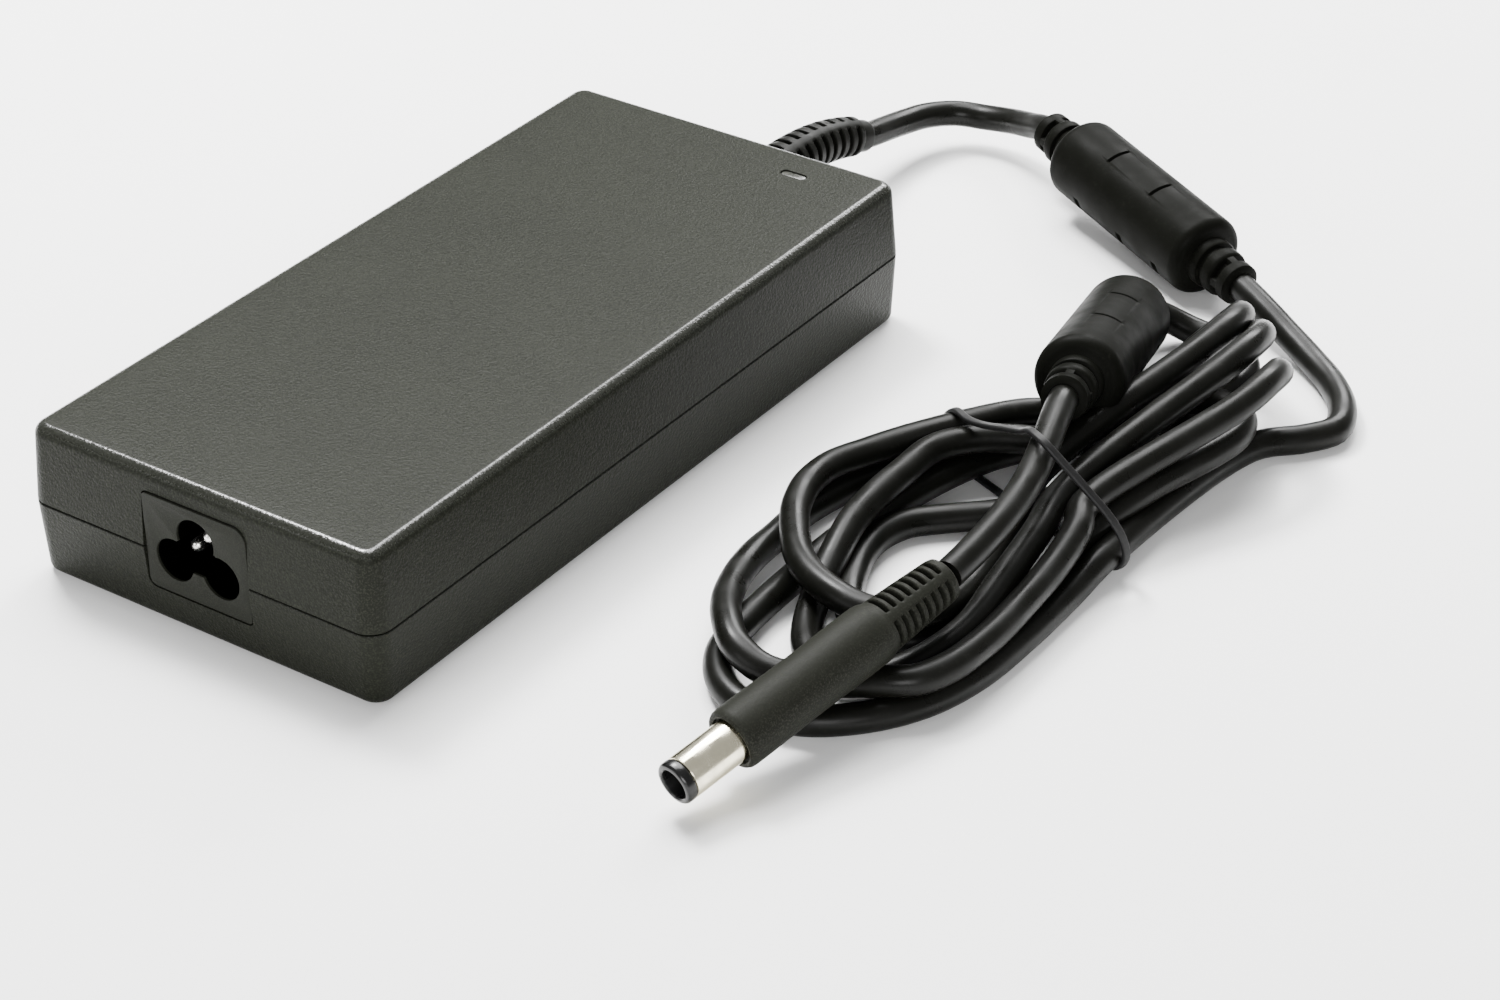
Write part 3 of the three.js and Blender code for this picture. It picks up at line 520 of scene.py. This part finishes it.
def grained_plastic(name, colour, grain, depth, roughness, gloss, edge_gloss=0.6, recess=None):
    """Moulded plastic with a spark-eroded skin: rounded pits, glossier on their ridges and on worn edges.
    On surfaces that tilt upwards, such as the upper fillets, its colour is lightened: a painted highlight,
    with some wear.
    Beyond recess, a place along Y in millimetres, its colour is painted near-black shade and it has almost no
    shine."""
    s = Shader(name)
    pits = s.cells(grain)
    fine = s.noise(grain * 0.55, 3)
    height = s.math("ADD", pits, s.spread(fine, 0.3, 0.7, 0, 0.35))
    cloud = s.noise(28, 3)
    tone = s.mix(s.spread(cloud, 0.35, 0.65, 0, 1), shade(colour, 0.93), shade(colour, 1.07))
    speck = s.mix(s.spread(fine, 0.46, 0.66, 0, 1), tone, shade(colour, 2.2))
    up = s.facing_up()
    edge = s.math("MULTIPLY", s.spread(up, 0.4, 0.85, 0, 1), s.spread(up, 0.965, 0.9995, 1, 0))
    sparkle = s.math("MULTIPLY", edge, s.spread(s.noise(grain * 0.7, 3), 0.36, 0.62, 0.45, 1))
    # painted highlight: surfaces tilted upwards, such as the upper fillets, are lightened, partly as handling
    # wear
    wear_and_painted_light = s.mix(sparkle, speck, shade(colour, 1.2))
    shine = s.spread(sparkle, 0, 1, gloss, gloss + edge_gloss)
    rough = s.spread(fine, 0.3, 0.7, roughness - 0.06, roughness + 0.08)
    rough = s.math("ADD", rough, s.spread(edge, 0, 1, 0, -edge_gloss / 3))
    if recess is not None:
        # painted shade: from just behind the inlet's face, in the socket and round the inlet, the colour goes
        # near black
        inside = s.spread(s.split(s.place, "Y"), recess * MM, (recess + 0.3) * MM, 0, 1)
        wear_and_painted_light = s.mix(inside, wear_and_painted_light, shade(colour, 0.04))
        shine = s.spread(inside, 0, 1, gloss, 0.01)
    return s.use(
        Base_Color=wear_and_painted_light, Roughness=rough, Specular_IOR_Level=shine,
        Normal=s.bump(height, depth, s.spread(edge, 0, 1, 1, 0.35)),
    )


def satin_rubber(name, colour, roughness=0.4, grain=0.25, depth=0.006, gloss=0.17):
    """Extruded or moulded soft plastic: nearly smooth, with faint marks, dust and handling wear."""
    s = Shader(name)
    fine = s.noise(grain, 3)
    smear = s.noise(6, 4)
    dust = s.math("MULTIPLY", s.spread(s.noise(0.8, 4), 0.56, 0.72, 0, 1), s.spread(smear, 0.4, 0.65, 0, 0.5))
    colours = s.mix(dust, colour, shade(colour, 2.6))
    rough = s.spread(smear, 0.3, 0.7, roughness - 0.07, roughness + 0.09)
    rough = s.math("ADD", rough, s.spread(dust, 0, 1, 0, 0.12))
    waves = s.bump(s.noise(3.5, 2), 0.05, 0.5)
    return s.use(
        Base_Color=colours, Roughness=rough, Specular_IOR_Level=gloss,
        Normal=s.bump(fine, depth, 1.0, over=waves),
    )


def plated_metal(name, colour, roughness=0.2, along_axis=(1, 1, 1)):
    """Nickel plating with faint turning marks and smudges."""
    s = Shader(name)
    marks = s.noise(0.12, 2, stretch=along_axis)
    smudge = s.noise(2.5, 4)
    tone = s.mix(s.spread(smudge, 0.35, 0.7, 0, 1), colour, shade(colour, 0.82))
    rough = s.spread(smudge, 0.3, 0.7, roughness - 0.05, roughness + 0.1)
    rough = s.math("ADD", rough, s.spread(marks, 0.3, 0.7, 0, 0.05))
    return s.use(Base_Color=tone, Metallic=1.0, Roughness=rough, Normal=s.bump(marks, 0.004, 0.6))


def plain_part(name, colour, roughness, metal=0.0, spot=1.5, spread=0.25, depth=0.02, grain=0.3):
    """A component inside: mottled colour and a light texture of its own."""
    s = Shader(name)
    mottle = s.noise(spot, 4)
    tone = s.mix(s.spread(mottle, 0.3, 0.7, 0, 1), shade(colour, 1 - spread), shade(colour, 1 + spread))
    rough = s.spread(mottle, 0.25, 0.75, roughness - 0.08, roughness + 0.08)
    skin = s.bump(s.noise(grain, 3), depth, 0.7)
    return s.use(Base_Color=tone, Metallic=metal, Roughness=rough, Normal=skin)


def banded_part(name, colour, gap_colour, pitch, roughness, metal=0.0, depth=0.15):
    """Close turns of wire, or the printed lines of a board: bands along Z with some drift."""
    s = Shader(name)
    wave = s.nodes.new("ShaderNodeTexWave")
    wave.bands_direction = "Z"
    wave.inputs["Scale"].default_value = 1 / (pitch * MM * 2 * math.pi)
    wave.inputs["Distortion"].default_value = 0.6
    s.links.new(s.place, wave.inputs["Vector"])
    lines = s.spread(wave.outputs["Fac"], 0.1, 0.6, 0, 1)
    tone = s.mix(lines, gap_colour, colour)
    rough = s.spread(s.noise(1.2, 3), 0.3, 0.7, roughness - 0.06, roughness + 0.1)
    ridges = s.bump(wave.outputs["Fac"], depth, 0.8)
    return s.use(Base_Color=tone, Metallic=metal, Roughness=rough, Normal=ridges)


def lens_plastic(name, colour):
    """The smoky light window: a polished face with a faint haze inside."""
    s = Shader(name)
    haze = s.noise(0.7, 3)
    tone = s.mix(s.spread(haze, 0.3, 0.7, 0, 1), shade(colour, 0.8), shade(colour, 1.25))
    rough = s.spread(haze, 0.3, 0.7, 0.22, 0.34)
    polish = s.bump(haze, 0.01, 0.4)
    return s.use(Base_Color=tone, Roughness=rough, Coat_Weight=0.3, Coat_Roughness=0.15, Normal=polish)


def floor_material():
    s = Shader("floor_card")
    cloud = s.noise(120, 2)
    tone = s.mix(s.spread(cloud, 0.3, 0.7, 0, 1), (0.905, 0.905, 0.9), (0.92, 0.92, 0.915))
    return s.use(Base_Color=tone, Roughness=0.9, Specular_IOR_Level=0.1)


CHARCOAL = (0.0084, 0.0091, 0.0066)
INLET_BLACK = (0.0085, 0.0091, 0.0069)
JACKET_BLACK = (0.0036, 0.0037, 0.0029)
MOULDED_BLACK = (0.0042, 0.0044, 0.0034)
CHAMPAGNE = (0.95, 0.89, 0.68)
NICKEL = (0.85, 0.84, 0.80)
SOCKET_SHADE_FROM = -77.3          # along Y: the recess begins just behind the inlet's face; from here on the inlet's colour is painted near-black shade

CASE = grained_plastic("case_plastic", CHARCOAL, grain=0.55, depth=0.075, roughness=0.38, gloss=0.05)
INLET = grained_plastic(
    "inlet_plastic", INLET_BLACK, grain=0.3, depth=0.02, roughness=0.48, gloss=0.06, edge_gloss=0.2,
    recess=SOCKET_SHADE_FROM,
)
JACKET = satin_rubber("cord_jacket", JACKET_BLACK, roughness=0.33, gloss=0.11)
OVERMOULD = satin_rubber("moulded_ends", MOULDED_BLACK, roughness=0.44, grain=0.3, depth=0.012, gloss=0.09)
COVER = satin_rubber(
    "ferrite_cover", shade(MOULDED_BLACK, 0.8), roughness=0.46, grain=0.35, depth=0.014, gloss=0.02,
)
GRIP = grained_plastic(
    "plug_grip", shade(MOULDED_BLACK, 2.1), grain=0.5, depth=0.06, roughness=0.52, gloss=0.05, edge_gloss=0,
)
TIE = satin_rubber("tie_band", (0.008, 0.008, 0.008), roughness=0.5)
BARREL = plated_metal("barrel_plating", CHAMPAGNE, roughness=0.14)
PIN = plated_metal("pin_plating", NICKEL, roughness=0.2)
CONTACT = plated_metal("contact_brass", (0.72, 0.56, 0.28), roughness=0.3)
TIP = satin_rubber("tip_plastic", (0.004, 0.004, 0.004), roughness=0.25, depth=0.003, gloss=0.3)
LENS = lens_plastic("light_window", (0.022, 0.023, 0.018))

INNER = {
    "rating_label": plain_part("label_film", (0.55, 0.55, 0.53), 0.45, spot=6, spread=0.05, depth=0.01),
    "status_led": plain_part("led_epoxy", (0.6, 0.68, 0.6), 0.2, spread=0.08, depth=0.004),
    "insulating_sheet": plain_part("insulating_film", (0.8, 0.79, 0.75), 0.5, spot=9, spread=0.05),
    "circuit_board": banded_part(
        "solder_mask", (0.03, 0.13, 0.045), (0.05, 0.2, 0.07), 1.6, 0.35, depth=0.03,
    ),
    "fuse": plain_part("fuse_sleeve", (0.03, 0.03, 0.03), 0.35),
    "transformer_winding": banded_part(
        "wound_wire", (0.62, 0.36, 0.12), (0.2, 0.1, 0.03), 0.8, 0.35, metal=0.7,
    ),
}
INNER["control_board"] = INNER["circuit_board"]
SHEET_METAL = plain_part("sheet_metal", (0.6, 0.61, 0.62), 0.38, metal=1.0, spot=5, spread=0.08, depth=0.01)
FILM = plain_part("film_case", (0.62, 0.42, 0.06), 0.45, spread=0.08)
FERRITE = plain_part("sintered_ferrite", (0.035, 0.035, 0.04), 0.6, spot=0.9, depth=0.04)
EPOXY = plain_part("moulded_epoxy", (0.022, 0.022, 0.024), 0.5)
SLEEVE = plain_part("shrunk_sleeve", (0.02, 0.025, 0.045), 0.3, spot=4, spread=0.15)
for node in ("heat_spreader", "primary_heat_sink", "secondary_heat_sink"):
    INNER[node] = SHEET_METAL
for node in ("x_capacitor", "y_capacitor"):
    INNER[node] = FILM
for node in ("common_mode_choke", "pfc_inductor", "transformer_core", "output_choke"):
    INNER[node] = FERRITE
for node in ("ferrite_core_near", "ferrite_core_far"):
    INNER[node] = FERRITE
for node in ("bridge_rectifier", "switching_transistor", "optocoupler", "output_rectifier"):
    INNER[node] = EPOXY
for node in ("bulk_capacitor", "output_capacitor_1", "output_capacitor_2", "output_capacitor_3"):
    INNER[node] = SLEEVE
for node in ("output_wire_positive", "output_wire_negative"):
    INNER[node] = JACKET
for node, material in INNER.items():
    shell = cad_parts[node]
    shell.data.materials.clear()
    shell.data.materials.append(material)


def finish_piece(piece, material, slot, *nodes):
    """Gives a piece its material, lets it ride on the case and stand for its CAD nodes."""
    piece.data.materials.clear()
    piece.data.materials.append(material)
    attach(piece, "root")
    if nodes:
        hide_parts(*nodes)
    return piece


# ---- case ------------------------------------------------------------------------------------------
CASE_HALF = (38, 78)
CASE_HEIGHT = 29
SEAM_Z = 14.3
SEAM_GAP = 0.15              # each shell stops this far from the parting line
SEAM_BEVEL = 0.12
WALL = 2.0
CORNER = 4.3
TOP_DRAFT = 1.1
BOTTOM_DRAFT = 0.8
TOP_FILLET = 2.1
BOTTOM_FILLET = 1.6
INLET_HALF_WIDTH = 11.15
INLET_Z = (7, 25)
INLET_CORNERS = (2.6, 0.8, 1.5, 0.8)
INLET_GAPS = (0.4, 0.18)
INLET_FACE = -77.6
INLET_FLANGE = -74.5
INLET_BACK = -61.5
LED_CENTRE = (19.3, 68.2)
LED_HALF = (2.5, 0.8)


def case_ring(z, inset):
    x, y = (half - inset for half in CASE_HALF)
    return [(u, v, z) for u, v in rounded_ring(x, y, max(CORNER - inset, 0.8), 14)]


def wall_inset(z):
    if z >= SEAM_Z:
        return TOP_DRAFT * (z - SEAM_Z) / (CASE_HEIGHT - SEAM_Z)
    return BOTTOM_DRAFT * (SEAM_Z - z) / SEAM_Z


def case_shell(name, seam, face, radius):
    """An open-bottomed shell, from its seam edge over its rounded rim to its flat face, and back inside."""
    up = 1 if face > seam else -1
    levels = [(seam, wall_inset(seam) + SEAM_BEVEL), (seam + up * SEAM_BEVEL, wall_inset(seam))]
    for k in range(11):
        angle = math.radians(9 * k)
        z = face - up * radius * (1 - math.sin(angle))
        levels.append((z, wall_inset(z) + radius * (1 - math.cos(angle))))
    z, inset = levels[-1]
    levels.append((z, inset + 3))
    outer = [case_ring(z, inset) for z, inset in levels]
    ceiling = face - up * WALL
    inner = [case_ring(ceiling, 8), case_ring(ceiling, 4.5)]
    inner += [case_ring(ceiling - up * 1.2, 3.3), case_ring(seam, WALL)]
    outer.reverse()
    inner.reverse()
    return rings_mesh(name, outer + inner, sharp=30)


def inlet_block(y, left_and_bottom=0.0, right_and_top=0.0):
    """The inlet's outline as a solid along Y, grown by a gap on two sides and by another on the other two."""
    grown = (left_and_bottom + right_and_top) / 2
    shift = (right_and_top - left_and_bottom) / 2
    half_height = (INLET_Z[1] - INLET_Z[0]) / 2
    middle = (INLET_Z[0] + INLET_Z[1]) / 2 + shift
    outline = rounded_ring(INLET_HALF_WIDTH + grown, half_height + grown, [r + grown for r in INLET_CORNERS])
    return rings_mesh("inlet_block", [[(shift + u, at, middle + v) for u, v in outline] for at in y])


def exit_cutter():
    return rod_y("exit_cutter", 5.35, 0, 14.5, (70, 82), 64)


def make_case():
    top = case_shell("case_top", SEAM_Z + SEAM_GAP, CASE_HEIGHT, TOP_FILLET)
    slot = plate_z("led_cutter", LED_CENTRE, (LED_HALF[0] + 0.22, LED_HALF[1] + 0.22), 0.9, (20, 35))
    cut_with(top, inlet_block((-85, -72), *INLET_GAPS), exit_cutter(), slot)
    finish_piece(top, CASE, "case_plastic", "top_shell")
    bottom = case_shell("case_bottom", SEAM_Z - SEAM_GAP, 0, BOTTOM_FILLET)
    recess = plate_z("label_cutter", (0, 0), (28, 42), 2, (-1, 0.5))
    cut_with(bottom, inlet_block((-85, -72), *INLET_GAPS), exit_cutter(), recess)
    finish_piece(bottom, CASE, "case_plastic", "bottom_shell")


def make_light_window():
    pane = plate_z("light_window", LED_CENTRE, LED_HALF, 0.7, (26.1, 28.82))
    foot = plate_z("foot", LED_CENTRE, (3.6, 1.9), 0.4, (25.4, 26.4))
    cut_with(pane, foot, operation="UNION")
    soften(pane, 0.12)
    finish_piece(pane, LENS, "lens", "led_window")


# ---- AC inlet --------------------------------------------------------------------------------------
SOCKET_DEPTH = 13
LOBE = 4.0
LOBES = ((-5, 13.8), (5, 13.8), (0, 19.2))
PINS = (("live", -5, 13.8, 4.5), ("neutral", 5, 13.8, 4.5), ("earth", 0, 18.3, 2.5))
PIN_RADIUS = 1.2


def make_inlet():
    body = inlet_block((INLET_FACE, INLET_FLANGE + 0.1))
    body.name = "inlet_socket"
    housing = plate_y("housing", 12.6, (5.6, 26.2), 1.5, (INLET_FLANGE, INLET_BACK))
    cut_with(body, housing, operation="UNION")
    depth = (INLET_FACE - 2, INLET_FACE + SOCKET_DEPTH)
    hollow = rod_y("lobe", LOBE, *LOBES[0], depth, 64)
    others = [rod_y("lobe", LOBE, *place, depth, 64) for place in LOBES[1:]]
    others.append(plate_y("middle", 4.2, (12.6, 18), 0.3, depth))
    cut_with(hollow, *others, operation="UNION")
    cut_with(body, hollow)
    holes = [rod_y("pin_hole", PIN_RADIUS + 0.1, x, z, (-67, -60), 32) for _, x, z, _ in PINS]
    cut_with(body, *holes)
    soften(body, 0.22, segments=3)
    finish_piece(body, INLET, "inlet_plastic", "ac_inlet_body")
    for name, x, z, depth in PINS:
        start = INLET_FACE + depth
        line = Path([(x, start, z), (x, -57, z)])
        profile = [(0, 0.05), (0.05, 0.35), (0.25, 0.75), (0.6, 1.05)]
        profile += [(1.1, PIN_RADIUS), (line.length, PIN_RADIUS)]
        pin = swept(f"inlet_contact_{name}", line, profile, None, sides=32)
        finish_piece(pin, PIN, "pin_metal", f"inlet_pin_{name}")


# ---- strain relief, ferrites and plug --------------------------------------------------------------
BORE = CORD_RADIUS + 0.04    # moulded on to the cord
SPINE = 16                   # degrees of solid material between two slots, each way


def slot_depth(spines):
    """Share of a slot's depth at an angle: nothing along the spines, all between them."""
    def share(degrees):
        apart = min(abs((degrees - s + 180) % 360 - 180) for s in spines)
        return ease(apart, SPINE * 0.6, SPINE * 1.1)
    return share


def slotted(start, end, count, first, last, depth, spines, duty=0.46):
    """(distance, radius) rings of a tapered sleeve with a row of slots round it."""
    share = slot_depth(spines)
    rings = []
    pitch = (end - start) / count
    edge = 0.18
    for k in range(count):
        slot_from = start + pitch * (k + 0.5 - duty / 2)
        slot_to = slot_from + pitch * duty
        marks = (slot_from - edge, slot_from, slot_from + edge, slot_to - edge, slot_to, slot_to + edge)
        for mark, cut in zip(marks, (0, 0.12, 1, 1, 0.12, 0)):
            outer = first + (last - first) * (mark - start) / (end - start)
            rings.append((mark, lambda a, outer=outer, cut=cut: outer - depth * cut * share(a)))
    return rings


def make_strain_relief():
    line = Path(smooth_line(RELIEF_ROUTE))
    length = line.length
    flange = [(0, 6.6), (0.2, 6.8), (1.4, 6.8), (1.6, 6.6), (1.65, 5.1), (8, 5.1), (16.2, 5.0)]
    ribs = slotted(16.6, length - 4.2, 9, 5.0, 4.05, 1.15, (28, 152, 270), duty=0.44)
    tip = [(length - 3.9, 4.0), (length - 3.6, 3.75), (length - 3.2, 3.35), (length - 0.7, 3.25),
           (length - 0.2, 3.1), (length, 2.8)]
    bore = [(0, BORE), (length, BORE)]
    relief = swept("cord_strain_relief", line, flange + ribs + tip, bore_rings(bore), sides=120)
    return finish_piece(relief, OVERMOULD, "overmould", "strain_relief")


def bore_rings(ends, steps=24):
    (a, r0), (b, r1) = ends
    return [(a + (b - a) * k / steps, r0 + (r1 - r0) * k / steps) for k in range(steps + 1)]


def collar_profile(reach):
    """Rings of a ferrite cover's collar, from its far end towards the body, as distances from the body."""
    share = slot_depth((0, 90, 180, 270))
    def ring(outer):
        return lambda a: outer - 1.0 * share(a)
    return [
        (reach, 2.9), (reach - 0.25, 3.7), (reach - 0.6, 4.15), (reach - 2.3, 4.2), (reach - 2.6, 4.1),
        (reach - 2.75, ring(4.1)), (reach - 4.1, ring(4.2)), (reach - 4.25, 4.2), (reach - 4.5, 4.5),
        (reach - 4.9, 4.65), (reach - 6.5, 4.7), (reach - 6.8, 4.6), (reach - 6.95, 3.9), (reach - 8.1, 3.95),
        (reach - 8.3, 4.75), (reach - 8.6, 4.95), (0.25, 5.0),
    ]


SLITS = (0.33, 0.65)         # shares of the body's length
NOTCHES = (0.24, 0.57, 0.84)
CHAMBER_FROM = 4.0           # the hollow that holds the ferrite core, from each end of the body
CHAMBER_RADIUS = 6.6
COVER_CORNER = 2.3


def cross_cut(at, half, depth, radius, share):
    """Rings of a short cut across a ferrite's body."""
    edge = 0.14
    start = ((-half - edge, 0), (-half, 0.5), (-half + edge, 1))
    marks = start + tuple((-d, cut) for d, cut in reversed(start))
    return [(at + d, lambda a, cut=cut: radius - depth * cut * share(a)) for d, cut in marks]


def make_ferrite(name, span, back_collar, slit_side, notch_side):
    """slit_side and notch_side are degrees round from its upper side."""
    length = FERRITE_LENGTH
    ends = fillet_profile(0.0, length, FERRITE_RADIUS, COVER_CORNER, 8)
    half = len(ends) // 2
    body = ends[:half]
    cuts = [(at, 0.3, 0.6, slit_share(slit_side, 19)) for at in SLITS]
    cuts += [(at, 0.75, 1.0, slit_share(notch_side, 20)) for at in NOTCHES]
    for at, reach, depth, share in sorted(cuts, key=lambda cut: cut[0]):
        body += cross_cut(at * length, reach, depth, FERRITE_RADIUS, share)
    body += ends[half:]
    front = [(length + d, r) for d, r in reversed(collar_profile(COLLAR_LENGTH))]
    if back_collar == COLLAR_LENGTH:
        back = [(-d, r) for d, r in collar_profile(COLLAR_LENGTH)]
    else:
        back = [(-3, 3.0), (-2.8, 3.9), (-2.3, 4.4), (-1.0, 4.6), (-0.3, 4.9)]
    end = length + COLLAR_LENGTH
    line = Path(along(span, *[k - back_collar for k in range(int(end + back_collar) + 1)], end))
    chamber = [
        (-back_collar, BORE), (CHAMBER_FROM - 0.1, BORE), (CHAMBER_FROM, CHAMBER_RADIUS),
        (length - CHAMBER_FROM, CHAMBER_RADIUS), (length - CHAMBER_FROM + 0.1, BORE), (end, BORE),
    ]
    outer = [(d + back_collar, r) for d, r in back + body + front]
    inner = [(d + back_collar, r) for d, r in chamber]
    return swept(name, line, outer, inner, sides=144)


def slit_share(middle, half):
    def share(degrees):
        apart = abs((degrees - middle + 180) % 360 - 180)
        return 1 - ease(apart, half * 0.8, half * 1.15)
    return share


def make_plug():
    line = Path(along((PLUG_BACK, PLUG_TIP), *range(0, 49), 48))
    boot_slots = slotted(1.6, 15.4, 8, 4.0, 4.75, 1.25, (-38, 52, 142, 232), duty=0.5)
    grip = [
        (0, 2.7), (0.2, 3.3), (0.6, 3.8), (1.2, 3.95), *boot_slots, (15.6, 4.8), (16.0, 4.95), (16.5, 5.15),
        (17.4, 5.28), (20, 5.32), (24, 5.3), (28, 5.22), (32, 5.2), (36, 5.24), (40, 5.3), (44, 5.34),
        (46.6, 5.34),
        (47.3, 5.26), (47.8, 5.0), (48, 4.6), (47.9, 4.2), (47.2, 4.05),
    ]
    inside = [(0, BORE), (44, BORE), (44.2, 3.82), (47.2, 3.82)]
    handle = swept("plug_handle", line, grip, inside, sides=120)
    return finish_piece(handle, GRIP, "overmould", "plug_grip")


def plug_part(name, profile, bore, sides=96):
    """A turned piece on the plug's axis. Distances run from the boot's back end."""
    line = Path(along((PLUG_BACK, PLUG_TIP), -1, 20, 40, 50, 62))
    shift = 1
    outer = [(d + shift, r) for d, r in profile]
    inner = [(d + shift, r) for d, r in bore] if bore else None
    return swept(name, line, outer, inner, sides=sides, sharp=25)


PLUG_FACE = 48               # where the barrel leaves the grip
BARREL_RADIUS = 3.7
BARREL_BORE = 2.55
PLUG_LENGTH = (Vector(PLUG_TIP) - Vector(PLUG_BACK)).length
TIP_RING = 1.9


def make_barrel():
    back = PLUG_FACE - 4.6
    front = PLUG_LENGTH - TIP_RING - 0.12
    radius = BARREL_RADIUS
    outer = [
        (back, radius - 0.2), (back + 0.2, radius), (front - 0.25, radius), (front - 0.08, radius - 0.07),
        (front, radius - 0.2),
    ]
    bore = [(back, radius - 0.45), (front, radius - 0.45)]
    return finish_piece(plug_part("plug_sleeve", outer, bore), BARREL, "barrel_metal", "plug_barrel")


def make_tip_ring():
    back = PLUG_FACE - 1
    face = PLUG_LENGTH - TIP_RING
    front = PLUG_LENGTH
    radius = BARREL_RADIUS
    liner = radius - 0.55
    outer = [
        (back, liner), (face - 0.02, liner), (face, radius - 0.16), (face + 0.12, radius - 0.04),
        (face + 0.3, radius), (front - 0.55, radius), (front - 0.3, radius - 0.1),
        (front - 0.1, radius - 0.28), (front, radius - 0.55),
    ]
    bore = [
        (back, BARREL_BORE), (front - 0.5, BARREL_BORE), (front - 0.2, BARREL_BORE + 0.1),
        (front, BARREL_BORE + 0.32),
    ]
    return finish_piece(plug_part("plug_tip", outer, bore), TIP, "tip_plastic", "plug_tip_ring")


def make_plug_contacts():
    back = PLUG_FACE - 4.4
    spring = BARREL_BORE - 0.12
    outer = [(back, spring - 0.1), (back + 0.1, spring), (back + 8.8, spring), (back + 8.9, spring - 0.1)]
    bore = [(back, spring - 0.34), (back + 8.7, spring - 0.34), (back + 8.9, spring - 0.2)]
    contact = plug_part("plug_spring", outer, bore)
    finish_piece(contact, CONTACT, "contact_metal", "plug_inner_contact")
    tip = PLUG_LENGTH - 2.4
    needle = [(back - 0.1, 0.2), (back, 0.4), (tip - 0.7, 0.4), (tip - 0.3, 0.3)]
    needle += [(tip - 0.08, 0.16), (tip, 0.04)]
    pin = finish_piece(plug_part("plug_needle", needle, None, sides=24), PIN, "pin_metal", "plug_centre_pin")
    return [contact, pin]


# ---- tie -------------------------------------------------------------------------------------------
TIE_LOOP = [
    (77, 37.2, 0.8), (93, 31, 0.7), (111, 24.6, 0.8), (115.8, 23, 1.8), (117.8, 22.2, 5), (117.4, 21.4, 9),
    (115.2, 20.4, 13.2), (111.2, 19.4, 17.6), (107.2, 18.2, 22), (103.4, 17.8, 25.2), (99.8, 19.8, 25),
    (96.2, 22.9, 22.2), (89.4, 27.8, 18), (83.4, 31.4, 14.8), (79.6, 33.2, 13.6), (75.4, 35.9, 12.7),
    (72.4, 37.8, 9.4),
    (71.6, 38.8, 5), (73.2, 38.8, 1.6),
]
TIE_THICKNESS = 1.0
TIE_WIDTH = 1.5


def closed_line(points, spacing):
    """Evenly spaced points on a smooth closed curve."""
    line = smooth_line([*points[-3:], *points, *points[:3]])
    first = 3 * 12
    ring = line[first:first + len(points) * 12 + 1]
    return even_line(ring, spacing)[0][:-1]


def make_tie():
    loop = closed_line(TIE_LOOP, 0.8)
    wide = Vector((-math.sin(TIE_TURN), math.cos(TIE_TURN), 0))
    outline = rounded_ring(TIE_THICKNESS / 2, TIE_WIDTH / 2, 0.4, 4)
    rings = []
    for k, centre in enumerate(loop):
        forward = (loop[(k + 1) % len(loop)] - loop[k - 1]).normalized()
        thick = forward.cross(wide).normalized()
        across = thick.cross(forward)
        rings.append([centre + thick * u + across * v for u, v in outline])
    band = rings_mesh("hank_tie", rings, closed=True)
    return finish_piece(band, TIE, "tie", "cord_tie")


# ---- assembly --------------------------------------------------------------------------------------
make_case()
make_light_window()
make_inlet()
relief = make_strain_relief()
near = make_ferrite("ferrite_near", NEAR_FERRITE, COLLAR_LENGTH, 9, 130)
finish_piece(near, COVER, "overmould", "ferrite_cover_near")
far = make_ferrite("ferrite_far", FAR_FERRITE, SHORT_COLLAR, -10, -125)
finish_piece(far, COVER, "overmould", "ferrite_cover_far")
handle = make_plug()
sleeve = make_barrel()
tip = make_tip_ring()
contacts = make_plug_contacts()
tie = make_tie()
cord, cord_length = make_cord()
finish_piece(cord, JACKET, "cord_jacket", "cord_lead", "cord_hank", "cord_tail")


# ---- stage and light -------------------------------------------------------------------------------
def add_floor():
    size = 1.6
    bpy.ops.mesh.primitive_plane_add(size=size, location=(0, 0, -0.00002))
    floor = bpy.context.object
    floor.name = "floor"
    floor.data.materials.append(floor_material())


def add_area(name, place, target, size, power):
    data = bpy.data.lights.new(name, "AREA")
    data.shape = "RECTANGLE"
    data.size, data.size_y = size
    data.energy = power
    lamp = bpy.data.objects.new(name, data)
    lamp.location = place
    aim = Vector(target) - Vector(place)
    lamp.rotation_euler = aim.to_track_quat("-Z", "Y").to_euler()
    bpy.context.scene.collection.objects.link(lamp)


def add_world(strength):
    world = bpy.data.worlds.new("studio")
    world.use_nodes = True
    background = world.node_tree.nodes["Background"]
    background.inputs["Color"].default_value = (1, 1, 1, 1)
    background.inputs["Strength"].default_value = strength
    bpy.context.scene.world = world


# name, place, what it points at, size and power
LIGHTS = (
    ("overhead", (-0.3, 0.36, 1.0), (0.03, 0, 0), (0.8, 0.8), 38),
    ("back", (-0.15, 1.0, 0.62), (0.03, 0.03, 0.02), (0.5, 0.35), 14),
    ("key", (-0.42, 0.2, 0.78), (0.0, -0.02, 0.02), (0.22, 0.22), 15),
    ("front", (-0.42, -0.95, 0.4), (0.0, -0.07, 0.015), (0.2, 0.2), 2.5),
    ("fill", (0.75, -0.95, 0.5), (0.03, -0.03, 0.01), (0.7, 0.5), 13),
)
SKY = 0.46

add_floor()
add_world(SKY)
for light in LIGHTS:
    add_area(*light)
